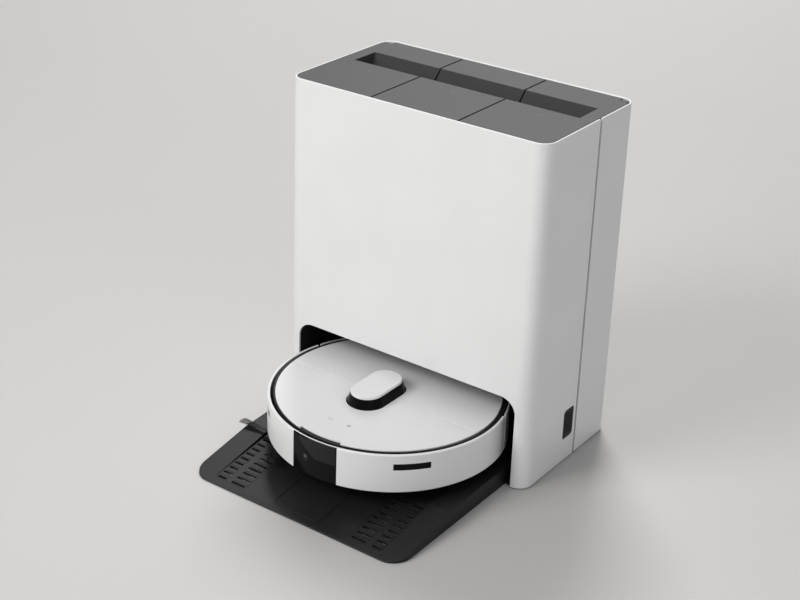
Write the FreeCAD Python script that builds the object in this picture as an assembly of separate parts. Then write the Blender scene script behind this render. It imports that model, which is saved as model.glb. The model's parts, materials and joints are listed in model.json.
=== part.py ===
"""Robot vacuum cleaner parked in its wash-and-empty station, as separate solids (millimetres).

Frame: +Z up, the floor is Z = 0, +X to the right and the front faces -Y. The origin is the centre of
the station's footprint, ramp included. The robot is modelled about its own centre with its wheel
contact plane at z = 0, and place() sets it on the ramp.
"""

import FreeCAD, Part
import math
import os

V = FreeCAD.Vector
X, Y, Z = V(1, 0, 0), V(0, 1, 0), V(0, 0, 1)

# ---- driving dimensions of the station ----
WIDTH, HEIGHT = 440.0, 535.0
RAMP_FRONT, FRONT, SEAM, BACK = -252.0, 9.0, 150.0, 252.0
CORNER_R = 22.0
SHELL_T = 3.0
SEAM_GAP = 5.4
INLET_X, INLET_Z = 150.0, 62.0
REAR_SCREWS = [(side * 190.0, z) for side in (-1, 1) for z in (40.0, 270.0, 480.0)]
FAN_Y = 110.0
VALVE_X, VALVE_Y = 145.0, 205.0
HOSE_X = 100.0
FOOT_H = 2.0
BAY_HALF, BAY_TOP, BAY_R = 197.0, 143.0, 25.0
LINER_BACK = 176.0
DECK_Z = 332.0
FRAME_TOP = 497.0
LID_SPLIT, LID_GAP = 74.0, 3.0
LID_T, LID_BOTTOM = 2.4, 500.6
LID_INSET = SHELL_T + 0.6
LID_BACK = BACK - SHELL_T - 1.6
HINGE_Y, HINGE_Z, HINGE_R, HINGE_REACH = 242.4, 529.5, 1.2, 6.2
CORNER_X, LID_NOTCH, POST_FRONT = 200.4, 6.6, 2.4
FLANK_X, FLANK_NOTCH = 213.5, 12.4
LUG_OFFSET, EAR_OFFSET = 40.0, 48.0
GRIP_FRONT, GRIP_BACK, GRIP_END = 132.5, 184.8, 194.7
GRIP_FLOOR, GRIP_SLOPE_FOOT, GRIP_UNDERCUT, GRIP_SKIN = 505.0, 159.0, 114.0, 2.2
VENT_Y, VENT_Z, VENT_W, VENT_H, VENT_R = 127.5, 63.5, 29.0, 49.0, 6.0
TANK_IN, TANK_OUT, TANK_FRONT, TANK_BACK, TANK_T = 77.0, 211.0, 18.0, 240.0, 2.4
TANK_BOTTOM, TANK_TOP = DECK_Z + 3.4, 500.0
FLOAT_X, FLOAT_Y, FLOAT_Z = 145.0, 62.0, 440.0
DUCT_R, PORT_Z, DUCT_Y, BAG_PORT_Z = 17.0, 72.0, 224.0, 380.0
CONTACT_X, CONTACT_Z = 35.0, 58.0

# ---- ramp ----
RAMP_HALF, RAMP_CORNER, TRACK_HALF, TREAD_IN = 186.0, 30.0, 150.0, 94.0
RIM = [(RAMP_FRONT, 2.5), (-128.0, 24.5), (-60.0, 28.0), (LINER_BACK - 1, 28.0)]
TRACK = [(-243.0, 4.0), (-128.0, 20.5), (-80.0, 24.0), (LINER_BACK - 1, 24.0)]
SLOPE = math.degrees(math.atan2(TRACK[1][1] - TRACK[0][1], TRACK[1][0] - TRACK[0][0]))
TREAD_ROWS, TREAD_PITCH, TREAD_T = 9, 12.4, 1.5
TREAD_START, TREAD_END = 3.0, 114.0
TREAD_SLOTS, SLOT_W = [(96.5, 121.0), (131.0, 146.5)], 3.8
PANEL_HALF, PANEL_START, PANEL_END, PANEL_R = 40.0, 4.0, 104.0, 8.0
TRAY_HALF, TRAY_Y0, TRAY_Y1 = 148.0, -5.0, 168.0
BASE_FEET = [(-168, -205), (168, -205), (-168, -20), (168, -20)]
FRAME_FEET = [(-208, 225), (208, 225), (-208, 40), (208, 40)]

# ---- driving dimensions of the robot, about its own centre ----
ROBOT_Y, WHEEL_PLANE = -23.0, 24.3
ROBOT_R, BUMPER_IN, BUMPER_T = 179.0, 175.8, 3.2
BAND_LOW, BAND_TOP = 19.7, 79.7
BUMPER_TRAVEL, BUMPER_HALF_ANGLE, PANEL_ANGLE = 4.0, 105.0, 107.0
WINDOW_HALF_ANGLE, SENSOR_ANGLE, SENSOR_HALF_ANGLE = 12.4, 46.9, 8.6
BELLY, BELLY_T, DECK_LOW, DECK_T = 9.0, 2.5, 75.0, 2.2
COVER_R, COVER_T, COVER_TOP = 167.5, 2.5, 80.8
TURRET_X, TURRET_Y, TURRET_HALF, TURRET_R, TURRET_CAP_R = -8.0, -21.0, 22.5, 30.0, 24.6
TURRET_TOP, TURRET_CAP_T = 98.6, 4.0
TYRE_R, HUB_R, WHEEL_X, TYRE_W = 33.0, 22.0, 116.0, 20.0
ARM_Y, ARM_Z = -48.0, 38.0
CASTER_Y, CASTER_R, CASTER_TRAIL = -132.0, 10.0, 7.0
BRUSH_Y, BRUSH_Z, BRUSH_HALF = -42.0, 21.0, 72.0
GUARD_LOW = 6.5
BIN_HALF, BIN_FRONT, BIN_BACK, BIN_LOW, BIN_TOP = 78.0, 33.0, 92.0, 53.5, 76.4
FAN_BACK = 120.0
SIDE_BRUSH_X, SIDE_BRUSH_Y, SIDE_BRUSH_R = -124.0, -104.0, 75.0
MOP_X, MOP_Y, MOP_R = 72.0, 85.0, 66.0
LIDAR_HEAD_Y = -38.0
CAMERA_X, CAMERA_Z = -14.0, 48.0
CREASE_Y = -18.0
SENSOR_LOW, SENSOR_HIGH = 55.7, 65.7
CLIFF = [(-62, -140), (62, -140), (-146, -62), (146, -62), (-150, 44), (150, 44)]
ROBOT_SCREWS = [(-30, -150), (30, -150), (-152, -10), (152, -10), (0, 150), (0, 6)]


# ---------------------------------------------------------------- helpers
def box(x0, x1, y0, y1, z0, z1):
    return Part.makeBox(x1 - x0, y1 - y0, z1 - z0, V(x0, y0, z0))


def cyl(r, z0, z1, x=0.0, y=0.0):
    return Part.makeCylinder(r, z1 - z0, V(x, y, z0), Z)


def rod(r, start, end):
    a, b = V(*start), V(*end)
    return Part.makeCylinder(r, (b - a).Length, a, b - a)


def fuse(shapes):
    shapes = list(shapes)
    joined = shapes[0].multiFuse(shapes[1:]) if len(shapes) > 1 else shapes[0]
    return joined.removeSplitter()


def cut(shape, tools):
    return shape.cut(list(tools)) if tools else shape


def rounded_outline(x0, x1, y0, y1, radii, z=0.0):
    """Closed wire of a rectangle; radii are those at (x0,y0), (x1,y0), (x1,y1), (x0,y1)."""
    corners = [(x0, y0, 1, 1), (x1, y0, -1, 1), (x1, y1, -1, -1), (x0, y1, 1, -1)]
    ends = []
    for i, ((cx, cy, sx, sy), r) in enumerate(zip(corners, radii)):
        along_x, along_y = V(cx + sx * r, cy, z), V(cx, cy + sy * r, z)
        mid = V(cx + sx * r * (1 - math.sqrt(0.5)), cy + sy * r * (1 - math.sqrt(0.5)), z)
        first, last = (along_y, along_x) if i % 2 == 0 else (along_x, along_y)
        ends.append((first, mid, last, r))
    edges = []
    for i, (first, mid, last, r) in enumerate(ends):
        if r > 0:
            edges.append(Part.Arc(first, mid, last).toShape())
        following = ends[(i + 1) % 4][0]
        if (following - last).Length > 1e-6:
            edges.append(Part.LineSegment(last, following).toShape())
    return Part.Wire(edges)


def slab(x0, x1, y0, y1, z0, z1, radii):
    """Upright prism with rounded vertical corners; radii is one number or four."""
    radii = [radii] * 4 if isinstance(radii, (int, float)) else radii
    return Part.Face(rounded_outline(x0, x1, y0, y1, radii, z0)).extrude(V(0, 0, z1 - z0))


def capsule(x, y, half, r, z0, z1):
    """Upright prism whose plan is a stadium, long along Y."""
    return slab(x - r, x + r, y - half - r, y + half + r, z0, z1, r - 1e-4)


def side_profile(points, x0, x1):
    """Polygon in (y, z), extruded from x0 to x1."""
    wire = Part.makePolygon([V(x0, y, z) for y, z in points] + [V(x0, *points[0])])
    return Part.Face(wire).extrude(V(x1 - x0, 0, 0))


def turned(points, angle=360.0, start=0.0):
    """Closed (r, z) polygon revolved about Z; angles run from -Y, positive towards +X."""
    wire = Part.makePolygon([V(0, -r, z) for r, z in points] + [V(0, -points[0][0], points[0][1])])
    face = Part.Face(wire)
    face.rotate(V(), Z, start)
    return face.revolve(V(), Z, angle)


def arc_band(r0, r1, z0, z1, half_angle, centre_angle=0.0):
    ring = [(r0, z0), (r1, z0), (r1, z1), (r0, z1)]
    return turned(ring, 2 * half_angle, centre_angle - half_angle)


def edges_at(shape, test):
    return [e for e in shape.Edges if all(test(v.Point) for v in e.Vertexes) and e.Length > 0.5]


def soften(shape, radius, test):
    """Fillet the edges whose ends all pass the test; the sharp shape stays if that fails."""
    chosen = edges_at(shape, test)
    if not chosen:
        return shape
    try:
        done = shape.makeFillet(radius, chosen)
        return done if done.isValid() and done.Volume > 0 else shape
    except Part.OCCError:
        return shape


def pipe(points, radius, bend, bore=0.0):
    """Round pipe along straight runs joined by tangent arcs of one bend radius."""
    pts = [V(*p) for p in points]
    edges, here = [], pts[0]
    for before, corner, after in zip(pts, pts[1:], pts[2:]):
        u, w = (before - corner).normalize(), (after - corner).normalize()
        half_turn = (math.pi - u.getAngle(w)) / 2
        back = bend * math.tan(half_turn)
        start, end = corner + u * back, corner + w * back
        centre = corner + (u + w).normalize() * (bend / math.cos(half_turn))
        middle = centre + (corner - centre).normalize() * bend
        edges += [Part.LineSegment(here, start).toShape(), Part.Arc(start, middle, end).toShape()]
        here = end
    edges.append(Part.LineSegment(here, pts[-1]).toShape())
    path = Part.Wire(edges)

    def sweep(r):
        ring = Part.Wire(Part.makeCircle(r, pts[0], pts[1] - pts[0]))
        return path.makePipeShell([ring], True, False)

    return sweep(radius).cut(sweep(bore)) if bore else sweep(radius)


def height_on(profile, y):
    for (y0, z0), (y1, z1) in zip(profile, profile[1:]):
        if y0 <= y <= y1:
            return z0 + (z1 - z0) * (y - y0) / (y1 - y0)
    return profile[0][1] if y < profile[0][0] else profile[-1][1]


def mirrored(shape):
    return shape.mirror(V(), X)


def place(shape):
    """Robot coordinates to the station's frame."""
    moved = shape.copy()
    moved.translate(V(0, ROBOT_Y, WHEEL_PLANE))
    return moved


def save(name, *shapes):
    solids = [s for shape in shapes for s in shape.Solids]
    for s in solids:
        if not s.isValid() or s.Volume <= 0:
            print("BAD SOLID", name, s.isValid(), s.Volume)
    whole = solids[0] if len(solids) == 1 else Part.makeCompound(solids)
    whole.exportStep(f"parts/{name}.step")
    b = whole.BoundBox
    print(f"{name}: {len(solids)} solid(s), {sum(s.Volume for s in solids) / 1000:.1f} cm3,",
          f"x {b.XMin:.1f}..{b.XMax:.1f} y {b.YMin:.1f}..{b.YMax:.1f} z {b.ZMin:.1f}..{b.ZMax:.1f}")


# ---------------------------------------------------------------- station covers
HALF = WIDTH / 2


def station_ring(inset, thickness, z0, z1):
    """Tube that follows the station's plan, inset from its outside."""
    r_out, r_in = CORNER_R - inset, CORNER_R - inset - thickness
    a, b = inset, inset + thickness
    outer = slab(-HALF + a, HALF - a, FRONT + a, BACK - a, z0, z1, r_out)
    inner = slab(-HALF + b, HALF - b, FRONT + b, BACK - b, z0 - 1, z1 + 1, r_in)
    return outer.cut(inner)


def bay_prism(half, top, radius, y0, y1, bottom=-5.0):
    """The robot bay's arch, extruded along Y."""
    flat = slab(-half, half, bottom, top, 0, y1 - y0, [0, 0, radius, radius])
    flat.rotate(V(), X, 90)
    flat.translate(V(0, y1, 0))
    return flat


def vent_prism(x0, x1, w, h, r):
    flat = slab(-w / 2, w / 2, -h / 2, h / 2, 0, x1 - x0, r)
    flat.rotate(V(), V(1, 1, 1), 120)
    flat.translate(V(x0, VENT_Y, VENT_Z))
    return flat


def front_shell():
    walls = station_ring(0, SHELL_T, FOOT_H, HEIGHT)
    walls = walls.common(box(-HALF - 1, HALF + 1, FRONT - 1, SEAM - SEAM_GAP / 2, 0, HEIGHT + 1))
    sill = bay_prism(BAY_HALF + 4, BAY_TOP + 4, BAY_R + 4, FRONT + 2, FRONT + 3.4, FOOT_H)
    opening = bay_prism(BAY_HALF, BAY_TOP, BAY_R, FRONT - 5, FRONT + 20)
    vents = vent_prism(-HALF - 1, HALF + 1, VENT_W, VENT_H, VENT_R)
    walls = cut(fuse([walls, sill]), [opening, vents])
    return soften(walls, 1.0, lambda p: p.z > HEIGHT - 0.01)


def rear_shell():
    y0 = SEAM + SEAM_GAP / 2
    walls = station_ring(0, SHELL_T, FOOT_H, HEIGHT)
    walls = walls.common(box(-HALF - 1, HALF + 1, y0, BACK + 1, 0, HEIGHT + 1))
    slots = []
    for row in range(7):
        for side in (-1, 1):
            x = 95 * side
            slots.append(slab(x - 34, x + 34, 0, 4, 0, 12, 1.9))
            slots[-1].rotate(V(), X, 90)
            slots[-1].translate(V(0, BACK + 4, 176 + 9 * row))
    inlet = box(INLET_X - 16, INLET_X + 16, BACK - 6, BACK + 2, INLET_Z - 13, INLET_Z + 13)
    groove = box(INLET_X - 6, INLET_X + 6, BACK - 1.2, BACK + 2, 0, INLET_Z - 13)
    holes = [rod(2.2, (x, BACK - 6, z), (x, BACK + 2, z)) for x, z in REAR_SCREWS]
    walls = cut(walls, slots + [inlet, groove] + holes)
    return soften(walls, 1.0, lambda p: p.z > HEIGHT - 0.01)


def side_vents():
    """Louvred inserts in both flanks of the front shell."""
    frame = vent_prism(HALF - 2.8, HALF - 0.6, VENT_W - 0.4, VENT_H - 0.4, VENT_R - 0.2)
    flange = vent_prism(HALF - SHELL_T - 1.6, HALF - SHELL_T - 0.1, VENT_W + 6, VENT_H + 6, VENT_R + 3)
    neck = vent_prism(HALF - SHELL_T - 0.2, HALF - 2.7, VENT_W - 2, VENT_H - 2, VENT_R - 1)
    plate = fuse([frame, flange, neck])
    y0, y1 = VENT_Y - VENT_W / 2 + 4, VENT_Y + VENT_W / 2 - 4
    slots = [box(HALF - 8, HALF + 1, y0 + 3.4 * i, y0 + 3.4 * i + 1.5, VENT_Z - 18, VENT_Z + 18)
             for i in range(int((y1 - y0) / 3.4) + 1)]
    right = cut(plate, slots)
    return right, mirrored(right)


# ---------------------------------------------------------------- station frame and bay
def inner_frame():
    wall = station_ring(4.6, 3.0, FOOT_H, FRAME_TOP)
    x_in = HALF - 7.6
    deck = slab(-x_in - 1, x_in + 1, FRONT + 7, BACK - 7, DECK_Z, DECK_Z + 3, 14)
    partitions = [box(s * LID_SPLIT - 1.5, s * LID_SPLIT + 1.5, FRONT + 6, BACK - 6, 262, FRAME_TOP)
                  for s in (-1, 1)]
    bag_walls = [box(-73, 73, 22, 25, 262, FRAME_TOP), box(-73, 73, 203, 206, 262, FRAME_TOP)]
    bag_floor = box(-73, 73, 22, 206, 262, 265)
    flange = box(-72.6, 72.6, FRONT + 5, LID_BACK - 0.4, FRAME_TOP - 0.5, LID_BOTTOM - 0.6)
    ears = hinge_ears(0, FRAME_TOP - 1)
    spine = station_ring(3.1, 2.0, FOOT_H, FRAME_TOP)
    spine = spine.common(box(-HALF, HALF, SEAM - 8, SEAM + 8, 0, FRAME_TOP))
    plates = [f.common(slab(-215, 215, 14, 247, 0, 20, 17)) for f in foot_plates()]
    frame = fuse([wall, deck, *partitions, *bag_walls, bag_floor, flange, *ears, spine, *plates])
    holes = [
        bay_prism(BAY_HALF + 5.5, BAY_TOP + 5.5, BAY_R + 5, FRONT - 1, FRONT + 12, -5),
        box(-66, 66, 27, 201, 265, 540),
        rod(DUCT_R + 1.2, (0, 195, BAG_PORT_Z), (0, 210, BAG_PORT_Z)),
        cyl(24, 255, 270, 0, FAN_Y),
        cyl(DUCT_R + 0.6, DECK_Z - 5, DECK_Z + 5, 0, DUCT_Y),
        vent_prism(-HALF - 1, HALF + 1, VENT_W + 7, VENT_H + 7, VENT_R + 3),
        box(INLET_X - 17, INLET_X + 17, BACK - 12, BACK + 2, INLET_Z - 14, INLET_Z + 14),
        *[cyl(9.0, DECK_Z - 5, DECK_Z + 8, s * VALVE_X, VALVE_Y) for s in (-1, 1)],
        *[rod(1.6, (x, BACK - 14, z), (x, BACK + 2, z)) for x, z in REAR_SCREWS],
        box(-130, 130, BACK - 12, BACK + 2, 172, 240),
    ]
    return cut(frame, holes)


def bay_liner():
    arch = bay_prism(BAY_HALF + 4, BAY_TOP + 4, BAY_R + 3, FRONT + 3.6, LINER_BACK + 3, FOOT_H)
    inner = bay_prism(BAY_HALF + 1, BAY_TOP + 1, BAY_R, FRONT - 5, LINER_BACK, -5)
    skirts = [box(s * 187.0 if s > 0 else -BAY_HALF - 2, BAY_HALF + 2 if s > 0 else -187.0,
                  FRONT + 4, LINER_BACK + 1, FOOT_H, FOOT_H + 3) for s in (-1, 1)]
    port = rod(DUCT_R + 4.4, (0, LINER_BACK - 2, PORT_Z), (0, LINER_BACK + 6, PORT_Z))
    pins = [rod(4.4, (x, LINER_BACK - 2, CONTACT_Z), (x, LINER_BACK + 6, CONTACT_Z))
            for x in (-CONTACT_X, CONTACT_X)]
    hoses = [rod(5.2, (s * HOSE_X, LINER_BACK - 2, 36), (s * HOSE_X, LINER_BACK + 6, 36)) for s in (-1, 1)]
    under_base = box(-RAMP_HALF - 0.6, RAMP_HALF + 0.6, LINER_BACK - 3, LINER_BACK + 4, -1, 29)
    shell = fuse([arch.cut(inner), *skirts])
    ribs = [box(-150, 150, y, y + 3, BAY_TOP + 3.6, BAY_TOP + 9) for y in (50, 90, 130)]
    return cut(fuse([shell, *ribs]), [port, *pins, *hoses, under_base])


def under(profile, drop):
    return [(y, z - drop) for y, z in profile]


def base_ramp():
    """Ramp and floor of the bay: a wedge with raised rims, hollow underneath."""
    rear = LINER_BACK - 1
    body = side_profile(RIM + [(rear, 0.6), (RAMP_FRONT, 0.6)], -RAMP_HALF, RAMP_HALF)
    plan = slab(-RAMP_HALF, RAMP_HALF, RAMP_FRONT, rear, -5, 60, [RAMP_CORNER, RAMP_CORNER, 0, 0])
    body = body.common(plan)
    track = side_profile(TRACK + [(rear + 1, 80), (TRACK[0][0], 80)], -TRACK_HALF, TRACK_HALF)
    underside = [(-222, -1), (-222, height_on(TRACK, -222) - 3), *under(TRACK[1:-1], 3),
                 (TRAY_Y0 - 4, TRACK[-1][1] - 3), (TRAY_Y0 - 4, -1)]
    hollow = side_profile(underside, -RAMP_HALF + 3, RAMP_HALF - 3)
    rear_hollow = box(-RAMP_HALF + 3, RAMP_HALF - 3, TRAY_Y0 - 3.9, rear - 3, -1, 6)
    ribs = [box(x - 1.5, x + 1.5, -225, rear - 2, 0.6, 6) for x in (-92, 0, 92)]
    tray = slab(-TRAY_HALF, TRAY_HALF, TRAY_Y0, TRAY_Y1, 9, 60, 12)
    treads = [tread_slab(0.5, TREAD_T + 0.5, 20, s) for s in (-1, 1)]
    drains = [on_slope(hole) for side in (-1, 1) for hole in tread_slots(side, 0.3, 8)]
    body = cut(body, [track, hollow, rear_hollow])
    panel = [centre_slab(0.8, TREAD_T + 0.5, 20)]
    body = cut(fuse([body, *[r.common(plan) for r in ribs]]), [tray, *treads, *panel, *drains])
    feet = [cyl(7.2, -1, 2.0, x, y) for x, y in BASE_FEET]
    return cut(body, feet)


def on_slope(flat):
    """Lay a piece drawn with its top at z = 0 and its front edge at y = 0 on the ramp's track."""
    flat.rotate(V(), X, SLOPE)
    flat.translate(V(0, TRACK[0][0], TRACK[0][1]))
    return flat


def tread_slab(gap, depth, top, side):
    x0, x1 = (TREAD_IN - gap, TRACK_HALF - 2 + gap)
    x0, x1 = (x0, x1) if side > 0 else (-x1, -x0)
    return on_slope(slab(x0, x1, TREAD_START - gap, TREAD_END + gap, -depth, top, 2))


def tread_slots(side, grow, depth):
    """Two columns of slots, drawn flat like the treads that they go through."""
    made = []
    for row in range(TREAD_ROWS):
        y = TREAD_START + 2.5 + TREAD_PITCH * row
        for ends in TREAD_SLOTS:
            a, b = sorted(side * end for end in ends)
            made.append(slab(a - grow, b + grow, y - grow, y + SLOT_W + grow, -depth, 1, 1.2))
    return made


def ramp_treads():
    """Grip inserts with two columns of slots and low ribs between them, one under each wheel."""
    made = []
    for side in (-1, 1):
        x0, x1 = sorted((side * TREAD_IN, side * (TRACK_HALF - 2)))
        plate = slab(x0, x1, TREAD_START, TREAD_END, -TREAD_T, 0, 2)
        ribs = []
        for row in range(TREAD_ROWS):
            y = TREAD_START + 2.5 + TREAD_PITCH * row + SLOT_W + 1.8
            ribs += [slab(*sorted((side * a, side * b)), y, y + 3.2, -0.5, 0.4, 1.2) for a, b in TREAD_SLOTS]
        made.append(on_slope(cut(fuse([plate, *ribs]), tread_slots(side, 0, TREAD_T + 1))))
    return made


def centre_slab(gap, depth, top):
    half = PANEL_HALF + gap
    return on_slope(slab(-half, half, PANEL_START - gap, PANEL_END + gap, -depth, top, PANEL_R))


def ramp_centre_panel():
    plate = slab(-PANEL_HALF, PANEL_HALF, PANEL_START, PANEL_END, -TREAD_T, 0, PANEL_R)
    grooves = [box(-33, 33, 12 + 4 * i, 12.6 + 4 * i, -0.2, 1) for i in range(21)]
    return on_slope(cut(plate, grooves))


def wash_tray():
    """Lift-out mop washing tray with scrubbing ribs and a drain."""
    h, y0, y1, top = TRAY_HALF - 0.5, TRAY_Y0 + 0.5, TRAY_Y1 - 0.5, TRACK[-1][1]
    tray = slab(-h, h, y0, y1, 9.2, top, 11.5).cut(slab(-h + 2.5, h - 2.5, y0 + 2.5, y1 - 2.5, 11.7, 60, 9))
    mop_y = ROBOT_Y + MOP_Y
    ribs = []
    for side in (-1, 1):
        for k in range(10):
            a = math.radians(36 * k + 9)
            inner, outer = 16.0, 58.0
            rib = slab(inner, outer, -1.6, 1.6, 11.0, top - 0.3, 1.5)
            rib.rotate(V(), Z, math.degrees(a))
            rib.translate(V(side * MOP_X, mop_y, 0))
            ribs.append(rib)
        ribs.append(cyl(61, 11, 15, side * MOP_X, mop_y).cut(cyl(58.5, 10, 16, side * MOP_X, mop_y)))
    tray = fuse([tray, *ribs])
    drain = [cyl(2.0, 0, 30, 4.6 * i - 23, 156 - 4.6 * j) for i in range(11) for j in range(2)]
    return cut(tray, drain)


def dock_feet():
    low = [cyl(7.0, 0, 1.8, x, y) for x, y in BASE_FEET]
    pads = [slab(x - 4.5, x + 4.5, y - 9, y + 9, 0, FOOT_H - 0.1, 3) for x, y in FRAME_FEET]
    return low + pads


def foot_plates():
    """Ledges inside the frame that carry the four outer feet."""
    return [slab(x - 5.5, x + 5.5, y - 10, y + 10, FOOT_H, FOOT_H + 4, 2) for x, y in FRAME_FEET]


# ---------------------------------------------------------------- lids and tanks
def trough_profile():
    """(y, z) outline of the finger trough, open at the top."""
    return [
        (GRIP_FRONT, HEIGHT + 5), (GRIP_FRONT, 529.0), (GRIP_UNDERCUT, 527.0), (GRIP_UNDERCUT, GRIP_FLOOR),
        (GRIP_SLOPE_FOOT, GRIP_FLOOR), (GRIP_BACK, HEIGHT), (GRIP_BACK, HEIGHT + 5),
    ]


def trough_skin_profile():
    """(y, z) outline of the solid from which the trough is cut, leaving its skin."""
    t = GRIP_SKIN
    return [
        (GRIP_FRONT - 1, HEIGHT - 1), (GRIP_FRONT - 1, 529.0), (GRIP_UNDERCUT - t, 527.0 + t),
        (GRIP_UNDERCUT - t, GRIP_FLOOR - t), (GRIP_SLOPE_FOOT + 0.5 * t, GRIP_FLOOR - t),
        (GRIP_BACK + 1.2 * t, HEIGHT - 1),
    ]


def lid(x0, x1, radii):
    """Flush top lid from x0 to x1 with its share of the finger trough and two hinge lugs."""
    y0 = FRONT + LID_INSET
    outline = slab(x0, x1, y0, LID_BACK, LID_BOTTOM, HEIGHT, radii)
    turning = rod(HINGE_REACH, (x0 - 1, HINGE_Y, HINGE_Z), (x1 + 1, HINGE_Y, HINGE_Z))
    ahead = box(x0 - 1, x1 + 1, y0 - 1, HINGE_Y, LID_BOTTOM - 1, HEIGHT + 1)
    outline = outline.common(fuse([ahead, turning]))
    t = GRIP_SKIN
    core = slab(x0 + t, x1 - t, y0 + t, LID_BACK + 5, LID_BOTTOM - 1, HEIGHT - LID_T,
                [max(radii[0] - t, 0.1), max(radii[1] - t, 0.1), 0, 0])
    back_room = box(x0 - 1, x1 + 1, HINGE_Y - 9, LID_BACK + 5, LID_BOTTOM - 1, HINGE_Z - 0.4)
    shell = cut(outline, [core, back_room])
    a, b = max(x0, -GRIP_END), min(x1, GRIP_END)
    skin = side_profile(trough_skin_profile(), a - (t if a > x0 else 0), b + (t if b < x1 else 0))
    trough = side_profile(trough_profile(), a if a > x0 else a - 1, b if b < x1 else b + 1)
    lugs = []
    centre = (x0 + x1) / 2
    for s in (-1, 1):
        at = centre + s * LUG_OFFSET
        lugs.append(box(at - 2, at + 2, HINGE_Y - 14, HINGE_Y, HINGE_Z - 2.8, HEIGHT - LID_T + 0.5))
        lugs.append(rod(2.8, (at - 2, HINGE_Y, HINGE_Z), (at + 2, HINGE_Y, HINGE_Z)))
    shell = cut(fuse([shell, skin, *lugs]), [trough])
    bores = [rod(HINGE_R + 0.04, (centre + s * (LUG_OFFSET - 4), HINGE_Y, HINGE_Z),
                 (centre + s * (LUG_OFFSET + 4), HINGE_Y, HINGE_Z)) for s in (-1, 1)]
    corner = fuse([box(CORNER_X, HALF, HINGE_Y - LID_NOTCH, BACK, LID_BOTTOM - 1, HEIGHT + 1),
                   box(FLANK_X, HALF, HINGE_Y - FLANK_NOTCH, BACK, LID_BOTTOM - 1, HEIGHT + 1)])
    return cut(shell, [*bores, corner, mirrored(corner)])


def hinge_ears(centre, z0):
    """Two ears with a pin each, on which a lid's lugs turn."""
    made = []
    for s in (-1, 1):
        at = centre + s * EAR_OFFSET
        made.append(box(at - 4, at + 4, HINGE_Y - 5, HINGE_Y + 2.2, z0, HINGE_Z))
        made.append(rod(2.9, (at - 4, HINGE_Y, HINGE_Z), (at + 4, HINGE_Y, HINGE_Z)))
        made.append(rod(HINGE_R, (centre + s * (LUG_OFFSET - 3), HINGE_Y, HINGE_Z), (at, HINGE_Y, HINGE_Z)))
    return made


def tank(side):
    """Open-topped water tank with a flange, hinge ears and a valve boss in its floor."""
    x0, x1 = sorted((side * TANK_IN, side * TANK_OUT))
    outer_r, inner_r = 14.0, 8.0
    radii = [inner_r, outer_r, outer_r, inner_r] if side > 0 else [outer_r, inner_r, inner_r, outer_r]
    body = slab(x0, x1, TANK_FRONT, TANK_BACK, TANK_BOTTOM, TANK_TOP, radii)
    f0, f1 = sorted((side * (LID_SPLIT + LID_GAP / 2), side * (HALF - LID_INSET - 0.4)))
    fr = [0.5, 17.5, 17.5, 0.5] if side > 0 else [17.5, 0.5, 0.5, 17.5]
    flange = slab(f0, f1, FRONT + LID_INSET + 0.4, LID_BACK - 0.4, TANK_TOP - 2.4, TANK_TOP, fr)
    t = TANK_T
    inner = slab(x0 + t, x1 - t, TANK_FRONT + t, TANK_BACK - t, TANK_BOTTOM + 3, TANK_TOP + 5,
                 [max(r - t, 1) for r in radii])
    centre = (sorted_lid(side)[0] + sorted_lid(side)[1]) / 2
    ears = hinge_ears(centre, TANK_TOP - 1)
    boss = cyl(12, TANK_BOTTOM, TANK_BOTTOM + 14, side * VALVE_X, VALVE_Y)
    post = slab(f0, f1, FRONT + LID_INSET + 0.4, LID_BACK - 0.4, TANK_TOP - 1, HEIGHT - 0.6, fr)
    p0, p1 = sorted((side * (CORNER_X + 0.7), side * WIDTH))
    post = post.common(box(p0, p1, HINGE_Y - POST_FRONT, BACK, 0, HEIGHT))
    made = cut(fuse([body, flange]), [inner])
    made = fuse([made, *ears, boss, post])
    return cut(made, [cyl(7.0, TANK_BOTTOM - 5, TANK_BOTTOM + 20, side * VALVE_X, VALVE_Y)])


def sorted_lid(side):
    return sorted((side * (LID_SPLIT + LID_GAP / 2), side * (HALF - LID_INSET)))


def tank_valve(side):
    """Spring valve in the tank floor that the station's port pushes open."""
    x, y, z = side * VALVE_X, VALVE_Y, TANK_BOTTOM
    plug, stem = cyl(6.6, z - 1.0, z + 4, x, y), cyl(2.5, z + 3, z + 22, x, y)
    return fuse([plug, stem, cyl(11, z + 17.5, z + 22, x, y)])


def dirty_float():
    """Hinged float that shuts the suction when the waste tank is full."""
    x, y, z = FLOAT_X, FLOAT_Y, FLOAT_Z
    ball = slab(x - 14, x + 14, y + 26, y + 62, z - 12, z + 10, 8)
    arm = box(x - 4, x + 4, y - 2, y + 30, z - 2, z + 2)
    hub = rod(5, (x - 10, y, z), (x + 10, y, z))
    return cut(fuse([ball, arm, hub]), [rod(2.04, (x - 12, y, z), (x + 12, y, z))])


def float_bracket():
    """Clip on the waste tank's front wall that carries the float's pin."""
    x, y, z = FLOAT_X, FLOAT_Y, FLOAT_Z
    cheeks = [fuse([box(x + s * 12 - 1.5, x + s * 12 + 1.5, TANK_FRONT + TANK_T - 0.4, y, z - 5, z + 5),
                    rod(5, (x + s * 12 - 1.5, y, z), (x + s * 12 + 1.5, y, z))]) for s in (-1, 1)]
    return fuse([*cheeks, rod(2.0, (x - 12, y, z), (x + 12, y, z))])


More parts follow.
